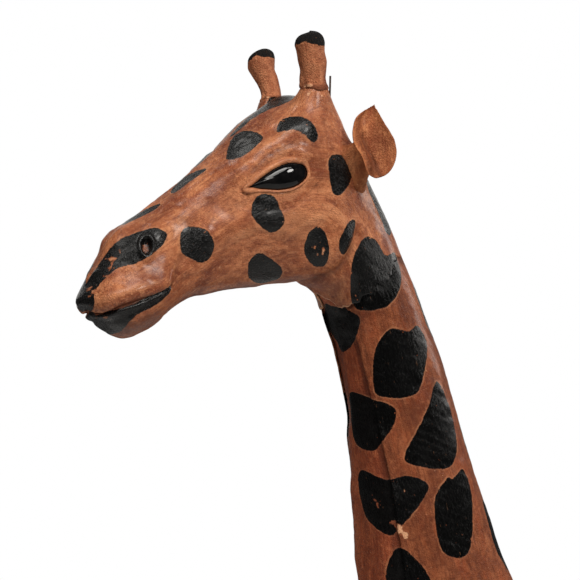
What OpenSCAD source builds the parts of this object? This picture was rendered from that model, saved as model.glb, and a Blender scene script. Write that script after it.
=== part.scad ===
// Standing giraffe statue: carved wood cores wrapped in stretched leather, with glass eyes,
// separate hooves, ears, ossicones and tail. It faces -X, stands on Z = 0 and is symmetric in Y.

/* [Leather] */
// Thickness of the wrapped leather, mm
leather_t = 1.6; // [1.2:0.1:2.2]
// Space between the leather and the wood under it, mm
leather_gap = 0.2; // [0.1:0.1:0.4]
// Width of the darker throat strip of the neck, degrees round the neck
throat_strip_deg = 75; // [45:30:135]

/* [Eyes] */
// Length of the glass eye, mm
eye_length = 44; // [38:1:46]
// Height of the glass eye, mm
eye_height = 20; // [17:1:22]
// How far the eye stands out of the flat of its pocket, mm
eye_bulge = 14; // [12:1:16]
// Width of the leather lid round the eye, mm
lid_width = 2.4; // [1.8:0.2:3]

/* [Ears] */
// Length of the leaf of the ear, mm
ear_length = 56; // [48:1:62]
// Width of the leaf of the ear, mm
ear_width = 35; // [28:1:40]
// Depth of the ear's cup, mm
ear_cup = 7; // [4:1:9]

/* [Ossicones] */
// Height of each ossicone above the crown seam, mm
ossicone_height = 39; // [34:1:44]
// Radius at the knob, mm
ossicone_knob_r = 9.6; // [8.5:0.1:10.5]
// Radius at the waist, mm
ossicone_waist_r = 7.9; // [7:0.1:8.4]
// Outward lean, degrees
ossicone_splay = 12; // [8:1:16]

/* [Hooves] */
// Length of the sole, mm
hoof_length = 52; // [46:1:56]
// Width of the sole, mm
hoof_width = 42; // [38:1:46]
// Width of the cleft at the toe, mm
cleft_width = 3; // [2:0.5:4]

/* [Tail] */
// Radius of the tail cord at its root, mm
tail_r = 6; // [5:0.5:7]
// Largest radius of the tail's tuft, mm
tuft_r = 10; // [8:0.5:11]

/* [Dowels] */
// Diameter of the leg dowels, mm
leg_dowel_d = 14; // [12:1:16]
// Diameter of the dowel between neck and body, mm
neck_dowel_d = 20; // [16:1:22]
// Diameter of the dowel between head and neck, mm
head_dowel_d = 14; // [12:1:16]

/* [Hidden] */
fit = 0.25;
core_in = leather_t + leather_gap;
leather_c = [0.55, 0.31, 0.19];
dark_leather_c = [0.38, 0.20, 0.13];
wood_c = [0.72, 0.55, 0.36];
paint_c = [0.05, 0.05, 0.05];
glass_c = [0.03, 0.03, 0.03];
steel_c = [0.35, 0.33, 0.31];

// Head and neck outline, one row per section from the lips back and down to the chest:
// upper point x, z; lower point x, z; half width; how much wider the upper half is.
head_rows = [
  [-321, 1069, -321, 1066, 2, 0],
  [-317, 1075, -316, 1063, 12, -0.10],
  [-313, 1083, -311, 1057, 18, -0.15],
  [-308, 1093, -305, 1052, 22, -0.18],
  [-302, 1104, -297, 1048, 24, -0.18],
  [-295, 1113, -288, 1048, 25.5, -0.15],
  [-286, 1121, -278, 1052, 26, -0.10],
  [-275, 1130, -269, 1057, 26, -0.04],
  [-262, 1140, -260, 1064, 26, 0.02],
  [-248, 1151, -249, 1071, 27, 0.06],
  [-234, 1163, -237, 1075, 29, 0.10],
  [-219, 1176, -224, 1078, 32, 0.15],
  [-205, 1188, -211, 1080, 35.5, 0.18],
  [-190, 1198, -198, 1081, 38.5, 0.20],
  [-175, 1204, -186, 1082, 40.5, 0.20],
  [-160, 1203, -175, 1083, 41.5, 0.18],
  [-149, 1195, -167, 1083, 41, 0.14],
  [-140, 1183, -161, 1082, 39, 0.10],
  [-132, 1173, -155, 1080, 37, 0.06],
  [-124, 1162, -150, 1075, 35, 0.03],
  [-115, 1148, -145, 1068, 33.5, 0],
  [-105, 1130, -141, 1060, 32, 0]
];
neck_rows = [
  [-104.8, 1129.7, -140.9, 1059.8, 32, 0],
  [-95, 1110, -138, 1051, 31, 0],
  [-84, 1089, -134, 1041, 30.5, 0],
  [-73, 1066, -131, 1029, 30.5, 0],
  [-62, 1042, -128, 1014, 31, 0],
  [-52, 1015, -125, 998, 31.5, 0],
  [-41, 985, -122, 978, 32.5, 0],
  [-30, 955, -119, 956, 34, 0],
  [-18, 925, -117, 932, 36, 0],
  [-6, 896, -115, 906, 38, 0],
  [10, 866, -113, 868, 41, 0],
  [32, 831, -109, 824, 46, 0],
  [60, 797, -103, 776, 51, 0]
];
chest_rows = [
  [60.2, 796.7, -102.9, 775.7, 51, 0],
  [94, 765, -92, 728, 57, 0],
  [130, 739, -74, 676, 61, 0],
  [160, 716, -46, 624, 62, 0],
  [182, 690, -8, 586, 56, 0]
];
// Barrel of the body: x, centre z, half height, half width.
barrel_rows = [
  [-42, 668, 42, 38],
  [-8, 648, 80, 58],
  [40, 634, 104, 68],
  [98, 628, 105, 70],
  [155, 620, 97, 68],
  [208, 616, 86, 64],
  [250, 614, 75, 60],
  [281, 614, 58, 50],
  [299, 616, 34, 34],
  [306, 617, 8, 9]
];
// Legs of the left side from the joint down to the hoof: z, x, y, half depth, half width.
front_leg_rows = [
  [499.8, 26, -40, 34, 25],
  [460, 25, -42, 29, 22],
  [400, 23, -45, 23, 18.5],
  [340, 21, -48, 19.5, 16.5],
  [300, 19, -50, 19.5, 17.5],
  [275, 18, -51, 20.5, 18.5],
  [250, 17, -52, 18, 16],
  [210, 15, -54, 14.5, 13.5],
  [150, 12, -57, 13, 12.5],
  [100, 10, -60, 13.5, 13],
  [70, 9, -61, 17, 16],
  [52, 8, -62, 16.5, 15.5],
  [38.2, 6, -62, 18.5, 17]
];
rear_leg_rows = [
  [479.8, 258, -42, 38, 24],
  [440, 262, -44, 31, 21],
  [400, 267, -46, 26, 18.5],
  [350, 273, -49, 21, 16.5],
  [310, 278, -51, 21, 15.5],
  [285, 280, -52, 21, 15],
  [255, 279, -53, 17, 13.5],
  [200, 277, -55, 13.5, 12.5],
  [140, 275, -58, 12.5, 12],
  [100, 274, -60, 13.5, 12.5],
  [70, 273, -61, 16.5, 15.5],
  [52, 271, -62, 16.5, 15.5],
  [38.2, 269, -62, 18, 16.5]
];
// Shoulder and thigh masses of the left side, bottom first: centre x, y, z; radii x, y, z.
shoulder = [
  [26, -40, 500, 34, 25, 34],
  [20, -42, 560, 42, 28, 40],
  [14, -38, 630, 50, 30, 50],
  [26, -30, 688, 40, 26, 38]
];
thigh = [
  [258, -42, 480, 38, 24, 36],
  [246, -44, 540, 48, 28, 44],
  [238, -40, 598, 56, 32, 52],
  [236, -32, 646, 50, 28, 34]
];
front_joint_z = 500;
rear_joint_z = 480;
hoof_top_z = 38;

function unit(v) = norm(v) < 0.000001 ? [0, 0, 0] : v / norm(v);
function pw(v, e) = sign(v) * pow(abs(v), e);

// Section through an upper and a lower point, a rounded box of power 2.2.
function head_ring(r, n) = [
  for (j = [0 : n - 1])
    let (a = 360 * j / n, s = pw(sin(a), 0.909), c = pw(cos(a), 0.909))
    [(r[0] + r[2]) / 2 + (r[0] - r[2]) / 2 * s,
     r[4] * c * (1 + r[5] * s),
     (r[1] + r[3]) / 2 + (r[1] - r[3]) / 2 * s]
];
function barrel_ring(r, n) = [
  for (j = [0 : n - 1])
    let (a = 360 * j / n)
    [r[0], r[3] * cos(a), r[1] + r[2] * sin(a)]
];
function leg_ring(r, n) = [
  for (j = [0 : n - 1])
    let (a = 360 * j / n)
    [r[1] + r[3] * sin(a), r[2] + r[4] * cos(a), r[0]]
];

// The crown swells into a low cone under each ossicone.
horn_base = [-170, 28, 1205];
function horn_swell(p) =
  let (d = norm([p[0] - horn_base[0], abs(p[1]) - horn_base[1]]),
       k = max(0, 1 - d / 25))
  p[2] < 1160 ? p : p + [0, 0, 11 * k * k * (3 - 2 * k)];
function head_grid(rows, n) = [for (r = rows) [for (p = head_ring(r, n)) horn_swell(p)]];

// Outward normal of the grid at ring i, point j; flat keeps it in the plane of an open end.
function grid_normal(g, i, j, flat) =
  let (m = len(g), n = len(g[0]),
       du = g[min(i + 1, m - 1)][j] - g[max(i - 1, 0)][j],
       dv = g[i][(j + 1) % n] - g[i][(j + n - 1) % n],
       nn = unit(cross(dv, du)))
  flat ? let (e = plane_normal(g[i]), q = nn - e * (nn * e)) unit(q) : nn;
function plane_normal(ring) =
  let (n = len(ring), k = floor(n / 4))
  unit(cross(ring[0] - ring[2 * k], ring[k] - ring[3 * k]));
function inset(g, d, flat_a, flat_b) = [
  for (i = [0 : len(g) - 1]) [
    for (j = [0 : len(g[0]) - 1])
      g[i][j] - d * grid_normal(g, i, j, (i == 0 && flat_a) || (i == len(g) - 1 && flat_b))
  ]
];

function flatten(g) = [for (r = g) for (p = r) p];
function wall_faces(m, n, base, flip) = [
  for (i = [0 : m - 2]) for (j = [0 : n - 1]) for (k = [0, 1])
    let (a = base + i * n + j, b = base + (i + 1) * n + j,
         c = base + (i + 1) * n + (j + 1) % n, d = base + i * n + (j + 1) % n)
    let (f = k == 0 ? [a, b, c] : [a, c, d])
    flip ? [f[0], f[2], f[1]] : f
];
function start_cap(n, base, flip) = [
  for (j = [1 : n - 2])
    flip ? [base, base + j + 1, base + j] : [base, base + j, base + j + 1]
];
function end_cap(m, n, base, flip) = [
  for (j = [1 : n - 2])
    let (o = base + (m - 1) * n)
    flip ? [o, o + j, o + j + 1] : [o, o + j + 1, o + j]
];
function rim(n, outer, inner, flip) = [
  for (j = [0 : n - 1]) for (k = [0, 1])
    let (a = outer + j, b = outer + (j + 1) % n, c = inner + (j + 1) % n, d = inner + j)
    let (f = k == 0 ? [a, b, c] : [a, c, d])
    flip ? [f[0], f[2], f[1]] : f
];

// A solid through the rings of a grid.
module loft(g) {
  m = len(g);
  n = len(g[0]);
  polyhedron(
    points = flatten(g),
    faces = concat(wall_faces(m, n, 0, false), start_cap(n, 0, false), end_cap(m, n, 0, false)),
    convexity = 8
  );
}

// A skin between two grids, open at the far end and closed or open at the near end.
module skin(go, gi, open_start) {
  m = len(go);
  n = len(go[0]);
  base = m * n;
  polyhedron(
    points = concat(flatten(go), flatten(gi)),
    faces = concat(
      wall_faces(m, n, 0, false),
      wall_faces(m, n, base, true),
      open_start ? rim(n, 0, base, false)
                 : concat(start_cap(n, 0, false), start_cap(n, base, true)),
      rim(n, (m - 1) * n, base + (m - 1) * n, true)
    ),
    convexity = 10
  );
}

// A strip of skin from column ja to column jb (jb may pass the last column).
module panel(go, gi, ja, jb) {
  m = len(go);
  n = len(go[0]);
  w = jb - ja + 1;
  po = [for (i = [0 : m - 1]) for (j = [ja : jb]) go[i][j % n]];
  pi_ = [for (i = [0 : m - 1]) for (j = [ja : jb]) gi[i][j % n]];
  b = m * w;
  polyhedron(
    points = concat(po, pi_),
    faces = concat(
      [for (i = [0 : m - 2]) for (j = [0 : w - 2]) for (k = [0, 1])
        let (p = i * w + j, q = p + w)
        k == 0 ? [p, q, q + 1] : [p, q + 1, p + 1]],
      [for (i = [0 : m - 2]) for (j = [0 : w - 2]) for (k = [0, 1])
        let (p = b + i * w + j, q = p + w)
        k == 0 ? [p, q + 1, q] : [p, p + 1, q + 1]],
      [for (i = [0 : m - 2]) for (k = [0, 1])
        let (p = i * w, q = p + w)
        k == 0 ? [p, b + p, b + q] : [p, b + q, q]],
      [for (i = [0 : m - 2]) for (k = [0, 1])
        let (p = i * w + w - 1, q = p + w)
        k == 0 ? [p, b + q, b + p] : [p, q, b + q]],
      [for (j = [0 : w - 2]) for (k = [0, 1])
        k == 0 ? [j, j + 1, b + j + 1] : [j, b + j + 1, b + j]],
      [for (j = [0 : w - 2]) for (k = [0, 1])
        let (o = (m - 1) * w)
        k == 0 ? [o + j, b + o + j + 1, o + j + 1] : [o + j, b + o + j, b + o + j + 1]]
    ),
    convexity = 10
  );
}

head_g = head_grid(head_rows, 28);
neck_g = head_grid(neck_rows, 24);
chest_g = head_grid(chest_rows, 24);
barrel_g = [for (r = barrel_rows) barrel_ring(r, 24)];

// Frame of an eye: z outwards, x along the eye from its front corner back.
// side is -1 for the left of the animal (Y < 0) and 1 for the right.
module eye_frame(side) {
  translate([-201, side * 25, 1148])
    scale([1, side, 1])
      rotate([0, 0, 13])
        rotate([0, -14, 0])
          rotate([-90, 0, 0])
            children();
}
module oval(rx, ry, h) {
  scale([rx, ry, 1])
    cylinder(r = 1, h = h, $fn = 32);
}
module eye_pockets() {
  for (side = [-1, 1])
    eye_frame(side)
      oval(eye_length / 2 + lid_width + 0.3, eye_height / 2 + lid_width + 0.3, 40);
}
module eye(side) {
  color(glass_c)
    eye_frame(side)
      translate([0, 0, 0.2]) {
        intersection() {
          scale([eye_length / 2, eye_height / 2, eye_bulge])
            sphere(r = 1, $fn = 32);
          translate([-40, -40, 0])
            cube([80, 80, 40]);
        }
      }
}
module eyelid(side) {
  color(dark_leather_c)
    eye_frame(side)
      translate([0, 0, 0.2])
        difference() {
          oval(eye_length / 2 + lid_width, eye_height / 2 + lid_width, 11);
          translate([0, 0, -1])
            oval(eye_length / 2 + 0.2, eye_height / 2 + 0.2, 14);
        }
}

// Frame of an ossicone: z along it from the crown seam.
module horn_frame(side) {
  translate([horn_base[0], side * horn_base[1], horn_base[2]])
    rotate([-side * ossicone_splay, -8, 0])
      children();
}
horn_h = ossicone_height;
function horn_profile(d) = [
  [9.8 - d, 1],
  [8.6 - d, 5],
  [ossicone_waist_r - d, 12],
  [ossicone_waist_r + 0.2 - d, horn_h * 0.52],
  [ossicone_knob_r - 0.4 - d, horn_h * 0.72],
  [ossicone_knob_r - d, horn_h * 0.83],
  [ossicone_knob_r * 0.86 - d, horn_h * 0.94 - d * 0.5],
  [ossicone_knob_r * 0.5 - d * 0.6, horn_h * 0.99 - d],
  [0, horn_h - d]
];
module ossicone_peg(side) {
  color(wood_c)
    horn_frame(side) {
      rotate_extrude($fn = 28)
        polygon(concat([[0, 1.2]], [for (p = horn_profile(core_in)) [p[0], max(p[1], 1.2)]]));
      translate([0, 0, -32])
        cylinder(d = 9, h = 33.5, $fn = 24);
    }
}
module ossicone_sleeve(side) {
  o = horn_profile(0);
  i = horn_profile(leather_t);
  n = len(o);
  color(leather_c)
    horn_frame(side)
      rotate_extrude($fn = 28)
        polygon(concat(o, [for (k = [n - 1 : -1 : 0]) i[k]]));
}
module ossicone_pin() {
  color(steel_c)
    horn_frame(-1)
      translate([8.8, -4.5, -4])
        rotate([0, 2, 0])
          cylinder(d = 1.3, h = 15, $fn = 16);
}
module horn_holes(d, depth) {
  for (side = [-1, 1])
    horn_frame(side)
      translate([0, 0, -depth])
        cylinder(d = d, h = depth + 12, $fn = 24);
}

head_dowel_a = [-144, 0, 1123];
head_dowel_b = [-103, 0, 1066];
neck_dowel_a = [-50, 0, 842];
neck_dowel_b = [10, 0, 722];
module rod(a, b, d) {
  v = b - a;
  translate(a)
    rotate([0, acos(v[2] / norm(v)), atan2(v[1], v[0])])
      cylinder(d = d, h = norm(v), $fn = 32);
}
module head_dowel_shape(extra) {
  e = unit(head_dowel_b - head_dowel_a) * extra;
  rod(head_dowel_a - e, head_dowel_b + e, head_dowel_d + 2 * extra);
}
module neck_dowel_shape(extra) {
  e = unit(neck_dowel_b - neck_dowel_a) * extra;
  rod(neck_dowel_a - e, neck_dowel_b + e, neck_dowel_d + 2 * extra);
}

module head_core() {
  color(wood_c)
    difference() {
      loft(inset(head_g, core_in, false, true));
      eye_pockets();
      horn_holes(9.4, 32.3);
      head_dowel_shape(fit);
    }
}
module head_skin() {
  color(leather_c)
    difference() {
      skin(head_g, inset(head_g, leather_t, false, true), false);
      eye_pockets();
      horn_holes(9.8, 20);
    }
}
module head_dowel() {
  color(wood_c)
    head_dowel_shape(0);
}

strip_n = round(throat_strip_deg / 15);
strip_a = 18 - floor(strip_n / 2);
strip_b = strip_a + strip_n;
module neck_core() {
  color(wood_c)
    difference() {
      loft(inset(neck_g, core_in, true, true));
      head_dowel_shape(fit);
      neck_dowel_shape(fit);
    }
}
module neck_wrap() {
  color(leather_c)
    panel(neck_g, inset(neck_g, leather_t, true, true), strip_b, strip_a + 24);
}
function slide_edge(g, ja, jb, f) = [
  for (r = g) [
    for (j = [0 : len(r) - 1])
      j == ja ? r[j] + (r[j + 1] - r[j]) * f :
      j == jb ? r[j] + (r[j - 1] - r[j]) * f : r[j]
  ]
];
module throat_strip() {
  go = slide_edge(neck_g, strip_a, strip_b, 0.04);
  gi = slide_edge(inset(neck_g, leather_t, true, true), strip_a, strip_b, 0.04);
  color(dark_leather_c)
    panel(go, gi, strip_a, strip_b);
}
module neck_dowel() {
  color(wood_c)
    neck_dowel_shape(0);
}

module mass(r, d) {
  translate([r[0], r[1], r[2]])
    scale([r[3] - d, r[4] - d, r[5] - d])
      sphere(r = 1, $fn = 20);
}
module limb_mass(rows, d, side) {
  for (i = [0 : len(rows) - 2])
    hull() {
      mass([rows[i][0], -side * rows[i][1], rows[i][2], rows[i][3], rows[i][4], rows[i][5]], d);
      mass([rows[i + 1][0], -side * rows[i + 1][1], rows[i + 1][2],
            rows[i + 1][3], rows[i + 1][4], rows[i + 1][5]], d);
    }
}
// The body's whole form, d inside the surface; over lets it run past the neck and leg joints.
neck_way = [-0.445, 0, 0.896];
function chest_grid(d, over) =
  let (g = inset(chest_g, d, true, false))
  over > 0 ? concat([[for (p = g[0]) p + neck_way * over]], g) : g;
module torso_form(d, over) {
  difference() {
    union() {
      loft(inset(barrel_g, d, false, false));
      loft(chest_grid(d, over));
      for (side = [-1, 1]) {
        limb_mass(shoulder, d, side);
        limb_mass(thigh, d, side);
      }
    }
    translate([-200, -200, front_joint_z - 200 - over])
      cube([350, 400, 200]);
    translate([140, -200, rear_joint_z - 200 - over])
      cube([350, 400, 200]);
  }
}
module torso_core() {
  color(wood_c)
    difference() {
      torso_form(core_in, 0);
      neck_dowel_shape(fit);
      for (side = [-1, 1]) {
        leg_dowel_shape(front_leg_rows, side, fit);
        leg_dowel_shape(rear_leg_rows, side, fit);
      }
      tail_root(fit);
    }
}
module torso_skin(side) {
  color(leather_c)
    difference() {
      torso_form(0, 0);
      torso_form(leather_t, 2);
      translate([-300, side > 0 ? -299.9 : -0.1, 300])
        cube([900, 300, 700]);
      tail_root(1);
    }
}

module leg_side(side) {
  scale([1, -side, 1])
    children();
}
module leg_dowel_shape(rows, side, extra) {
  r = rows[0];
  translate([r[1], -side * r[2], r[0] - 60 - extra])
    cylinder(d = leg_dowel_d + 2 * extra, h = 120 + 2 * extra, $fn = 32);
}
module leg_core(rows, side) {
  g = [for (r = rows) leg_ring(r, 16)];
  color(wood_c)
    difference() {
      leg_side(side)
        loft(inset(g, core_in, true, true));
      leg_dowel_shape(rows, side, fit);
    }
}
module leg_skin(rows, side) {
  g = [for (r = rows) leg_ring(r, 16)];
  color(leather_c)
    leg_side(side)
      skin(g, inset(g, leather_t, true, true), true);
}
module leg_dowel(rows, side) {
  color(wood_c)
    leg_dowel_shape(rows, side, 0);
}
module hoof(rows, side) {
  r = rows[len(rows) - 1];
  color(paint_c)
    translate([r[1], -side * r[2], 0])
      difference() {
        hull() {
          translate([0, 0, hoof_top_z - 1])
            scale([r[3], r[4], 1])
              cylinder(r = 1, h = 1, $fn = 32);
          translate([-2, 0, 12])
            scale([hoof_length / 2 - 1, hoof_width / 2 - 0.5, 1])
              cylinder(r = 1, h = 1, $fn = 32);
          translate([-3, 0, 0])
            scale([hoof_length / 2, hoof_width / 2, 1])
              cylinder(r = 1, h = 3, $fn = 32);
        }
        translate([-hoof_length / 2 - 10, -cleft_width / 2, -1])
          cube([19, cleft_width, hoof_top_z - 8]);
      }
}

// Leaf of an ear: rows along it, each a thin curved strip.
function ear_w(u) =
  ear_width / 2 * pow(sin(180 * pow(u, 0.8)), 0.7) * (1 - 0.25 * u) + 5 * (1 - u) * (1 - u) + 0.6;
function ear_pt(u, v, t) =
  let (w = ear_w(u))
  [w * v, ear_cup * (1 - v * v) * sin(180 * min(0.95, u + 0.12)) + t, ear_length * u];
function ear_grid() = [
  for (i = [0 : 9]) let (u = i / 9) concat(
    [for (k = [0 : 5]) ear_pt(u, -1 + 2 * k / 5, 0)],
    [for (k = [5 : -1 : 0]) ear_pt(u, (-1 + 2 * k / 5) * 0.97, 2.2)]
  )
];
module ear(side) {
  color(leather_c)
    translate([-138, side * 37.5, 1156])
      scale([1, side, 1])
        rotate([-32, -4, -22])
          loft(ear_grid());
}

// Tail: x, z, radius, from the root down.
cord_rows = [
  [292, 668, 6],
  [306, 660, 6],
  [313, 640, 5.6],
  [314.5, 600, 5],
  [314, 540, 4.6],
  [312.5, 480, 4.3],
  [311.5, 430, 4.2]
];
function cord_ring(r, dx, dz, n) = [
  for (j = [0 : n - 1])
    let (a = 360 * j / n, l = norm([dx, dz]), rr = r[2] * tail_r / 6)
    [r[0] - rr * sin(a) * dz / l, rr * cos(a), r[1] + rr * sin(a) * dx / l]
];
function cord_grid(n) = [
  for (i = [0 : len(cord_rows) - 1])
    let (a = cord_rows[max(i - 1, 0)], b = cord_rows[min(i + 1, len(cord_rows) - 1)])
    cord_ring(cord_rows[i], b[0] - a[0], b[1] - a[1], n)
];
module tail_cord() {
  color(dark_leather_c)
    loft(cord_grid(16));
}
module tail_root(extra) {
  rod([280, 0, 672], [318, 0, 652], 2 * tail_r + 2 * extra + 3);
}
tuft_rows = [
  [429.8, 0.5],
  [418, 0.66],
  [395, 0.9],
  [370, 1],
  [345, 0.86],
  [322, 0.5],
  [306, 0.08]
];
module tail_tuft() {
  g = [for (r = tuft_rows) leg_ring([r[0], 311.2, 0, tuft_r * r[1], tuft_r * 0.85 * r[1]], 16)];
  color(paint_c)
    loft(g);
}

head_core();
head_skin();
eye(-1);  // eye_left
eye(1);  // eye_right
eyelid(-1);  // eyelid_left
eyelid(1);  // eyelid_right
ear(-1);  // ear_left
ear(1);  // ear_right
ossicone_peg(-1);  // ossicone_peg_left
ossicone_peg(1);  // ossicone_peg_right
ossicone_sleeve(-1);  // ossicone_sleeve_left
ossicone_sleeve(1);  // ossicone_sleeve_right
ossicone_pin();  // ossicone_pin_left
head_dowel();
neck_core();
neck_wrap();
throat_strip();
neck_dowel();
torso_core();
torso_skin(-1);  // torso_skin_left
torso_skin(1);  // torso_skin_right
leg_core(front_leg_rows, -1);  // leg_core_front_left
leg_core(front_leg_rows, 1);  // leg_core_front_right
leg_core(rear_leg_rows, -1);  // leg_core_rear_left
leg_core(rear_leg_rows, 1);  // leg_core_rear_right
leg_skin(front_leg_rows, -1);  // leg_skin_front_left
leg_skin(front_leg_rows, 1);  // leg_skin_front_right
leg_skin(rear_leg_rows, -1);  // leg_skin_rear_left
leg_skin(rear_leg_rows, 1);  // leg_skin_rear_right
leg_dowel(front_leg_rows, -1);  // leg_dowel_front_left
leg_dowel(front_leg_rows, 1);  // leg_dowel_front_right
leg_dowel(rear_leg_rows, -1);  // leg_dowel_rear_left
leg_dowel(rear_leg_rows, 1);  // leg_dowel_rear_right
hoof(front_leg_rows, -1);  // hoof_front_left
hoof(front_leg_rows, 1);  // hoof_front_right
hoof(rear_leg_rows, -1);  // hoof_rear_left
hoof(rear_leg_rows, 1);  // hoof_rear_right
tail_cord();
tail_tuft();
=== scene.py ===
import math

import bmesh
import bpy
import numpy as np
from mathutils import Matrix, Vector


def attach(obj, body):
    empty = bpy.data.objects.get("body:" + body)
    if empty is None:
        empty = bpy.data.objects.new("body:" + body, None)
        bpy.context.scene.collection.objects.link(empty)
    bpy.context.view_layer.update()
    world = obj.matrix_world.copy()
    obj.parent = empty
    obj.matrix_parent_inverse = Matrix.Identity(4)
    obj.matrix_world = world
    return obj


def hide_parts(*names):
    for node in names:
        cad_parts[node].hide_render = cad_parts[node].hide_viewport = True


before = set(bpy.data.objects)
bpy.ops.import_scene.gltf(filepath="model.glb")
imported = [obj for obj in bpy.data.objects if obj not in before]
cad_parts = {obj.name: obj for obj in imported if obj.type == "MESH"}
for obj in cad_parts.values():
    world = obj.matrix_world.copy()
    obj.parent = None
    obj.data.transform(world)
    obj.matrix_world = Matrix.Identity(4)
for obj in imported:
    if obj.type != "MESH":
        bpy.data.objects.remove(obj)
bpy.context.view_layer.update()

MM = 0.001
SIDES = {-1: "left", 1: "right"}     # the sign of y on each side, and its name

# ---------------------------------------------------------------- shapes of the statue, in mm

# Head and neck, one row per section from the lips back and down to the chest:
# upper point x, z; lower point x, z; half width; how much wider the upper half is.
HEAD_NECK = np.array([
    (-321, 1069, -321, 1066, 2, 0),
    (-317, 1075, -316, 1063, 12, -0.10),
    (-313, 1083, -311, 1057, 18, -0.15),
    (-308, 1093, -305, 1052, 22, -0.18),
    (-302, 1104, -297, 1048, 24, -0.18),
    (-295, 1113, -288, 1048, 25.5, -0.15),
    (-286, 1121, -278, 1052, 26, -0.10),
    (-275, 1130, -269, 1057, 26, -0.04),
    (-262, 1140, -260, 1064, 26, 0.02),
    (-248, 1151, -249, 1071, 27, 0.06),
    (-234, 1163, -237, 1075, 29, 0.10),
    (-219, 1176, -224, 1078, 32, 0.15),
    (-205, 1188, -211, 1080, 35.5, 0.18),
    (-190, 1198, -198, 1081, 38.5, 0.20),
    (-175, 1204, -186, 1082, 40.5, 0.20),
    (-160, 1203, -175, 1083, 41.5, 0.18),
    (-149, 1195, -167, 1083, 41, 0.14),
    (-140, 1183, -161, 1082, 39, 0.10),
    (-132, 1173, -155, 1080, 37, 0.06),
    (-124, 1162, -150, 1075, 35, 0.03),
    (-115, 1148, -145, 1068, 33.5, 0),
    (-105, 1130, -141, 1060, 32, 0),
    (-95, 1110, -138, 1051, 31, 0),
    (-84, 1089, -134, 1041, 30.5, 0),
    (-73, 1066, -131, 1029, 30.5, 0),
    (-62, 1042, -128, 1014, 31, 0),
    (-52, 1015, -125, 998, 31.5, 0),
    (-41, 985, -122, 978, 32.5, 0),
    (-30, 955, -119, 956, 34, 0),
    (-18, 925, -117, 932, 36, 0),
    (-6, 896, -115, 906, 38, 0),
    (10, 866, -113, 868, 41, 0),
    (32, 831, -109, 824, 46, 0),
    (60, 797, -103, 776, 51, 0),
    (94, 765, -92, 728, 57, 0),
    (130, 739, -74, 676, 61, 0),
    (160, 716, -46, 624, 62, 0),
    (182, 690, -8, 586, 56, 0),
], float)
NECK_JOINT = 33          # row where the neck meets the body
BOX_POWER = 0.909        # sections are a little squarer than ellipses

# Barrel of the body: x, centre z, half height, half width.
BARREL = np.array([
    (-42, 668, 42, 38), (-8, 648, 80, 58), (40, 634, 104, 68), (98, 628, 105, 70),
    (155, 620, 97, 68), (208, 616, 86, 64), (250, 614, 75, 60), (281, 614, 58, 50),
    (299, 616, 34, 34), (306, 617, 8, 9),
], float)
# Legs on the left from the joint down to the hoof: z, x, y, half depth, half width.
FRONT_LEG = np.array([
    (500, 26, -40, 34, 25), (460, 25, -42, 29, 22), (400, 23, -45, 23, 18.5),
    (340, 21, -48, 19.5, 16.5), (300, 19, -50, 19.5, 17.5), (275, 18, -51, 20.5, 18.5),
    (250, 17, -52, 18, 16), (210, 15, -54, 14.5, 13.5), (150, 12, -57, 13, 12.5),
    (100, 10, -60, 13.5, 13), (70, 9, -61, 17, 16), (52, 8, -62, 16.5, 15.5),
    (38, 6, -62, 18.5, 17),
], float)
REAR_LEG = np.array([
    (480, 258, -42, 38, 24), (440, 262, -44, 31, 21), (400, 267, -46, 26, 18.5),
    (350, 273, -49, 21, 16.5), (310, 278, -51, 21, 15.5), (285, 280, -52, 21, 15),
    (255, 279, -53, 17, 13.5), (200, 277, -55, 13.5, 12.5), (140, 275, -58, 12.5, 12),
    (100, 274, -60, 13.5, 12.5), (70, 273, -61, 16.5, 15.5), (52, 271, -62, 16.5, 15.5),
    (38, 269, -62, 18, 16.5),
], float)
# Shoulder and thigh on the left, bottom first: centre x, y, z; radii x, y, z.
SHOULDER = np.array([
    (26, -40, 470, 30, 23, 34), (26, -40, 500, 34, 25, 34), (20, -42, 560, 42, 28, 40),
    (14, -38, 630, 50, 30, 50), (26, -30, 688, 40, 26, 38),
], float)
THIGH = np.array([
    (260, -43, 450, 33, 22, 34), (258, -42, 480, 38, 24, 36), (246, -44, 540, 48, 28, 44),
    (238, -40, 598, 56, 32, 52), (236, -32, 646, 50, 28, 34),
], float)
FRONT_JOINT_Z, REAR_JOINT_Z, LEG_SPLIT_X = 500, 480, 150
HORN_BASE = np.array((-170.0, 28.0, 1205.0))
HORN_SPLAY, HORN_LEAN = 12, 8      # degrees outwards and forwards
# Level directions seen from the camera, which stands 30 degrees round from the front.
CAMERA_RIGHT = np.array((0.866, -0.5, 0.0))
TO_CAMERA = np.array((-0.5, -0.866, 0.0))


def stacked(*parts):
    """The arrays side by side in a new last axis."""
    return np.stack(np.broadcast_arrays(*parts), -1)


def unit(vectors):
    return vectors / np.maximum(np.linalg.norm(vectors, axis=-1, keepdims=True), 1e-9)


def bell(distance, width):
    """A smooth bump: 1 at no distance, 0.37 at the width."""
    return np.exp(-(distance / width) ** 2)


def ring_degrees(columns):
    return (np.arange(columns) * 360 / columns)[None, :]


def ring_radians(columns):
    return (np.arange(columns) * 2 * math.pi / columns)[None, :]


def spline(a, b, c, d, t):
    """The smooth curve through a, b, c and d, at t from b to c."""
    return 0.5 * (2 * b + (c - a) * t + (2 * a - 5 * b + 4 * c - d) * t ** 2
                  + (3 * b - a - 3 * c + d) * t ** 3)


def catmull(rows, at):
    """The rows at the places in at, on a smooth curve through every row."""
    at = np.asarray(at, float)
    last = len(rows) - 1
    i = np.clip(np.floor(at).astype(int), 0, last - 1)
    t = (at - i)[..., None]
    return spline(*(rows[np.clip(i + k, 0, last)] for k in (-1, 0, 1, 2)), t)


def smoothstep(low, high, v):
    t = np.clip((v - low) / (high - low), 0, 1)
    return t * t * (3 - 2 * t)


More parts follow.
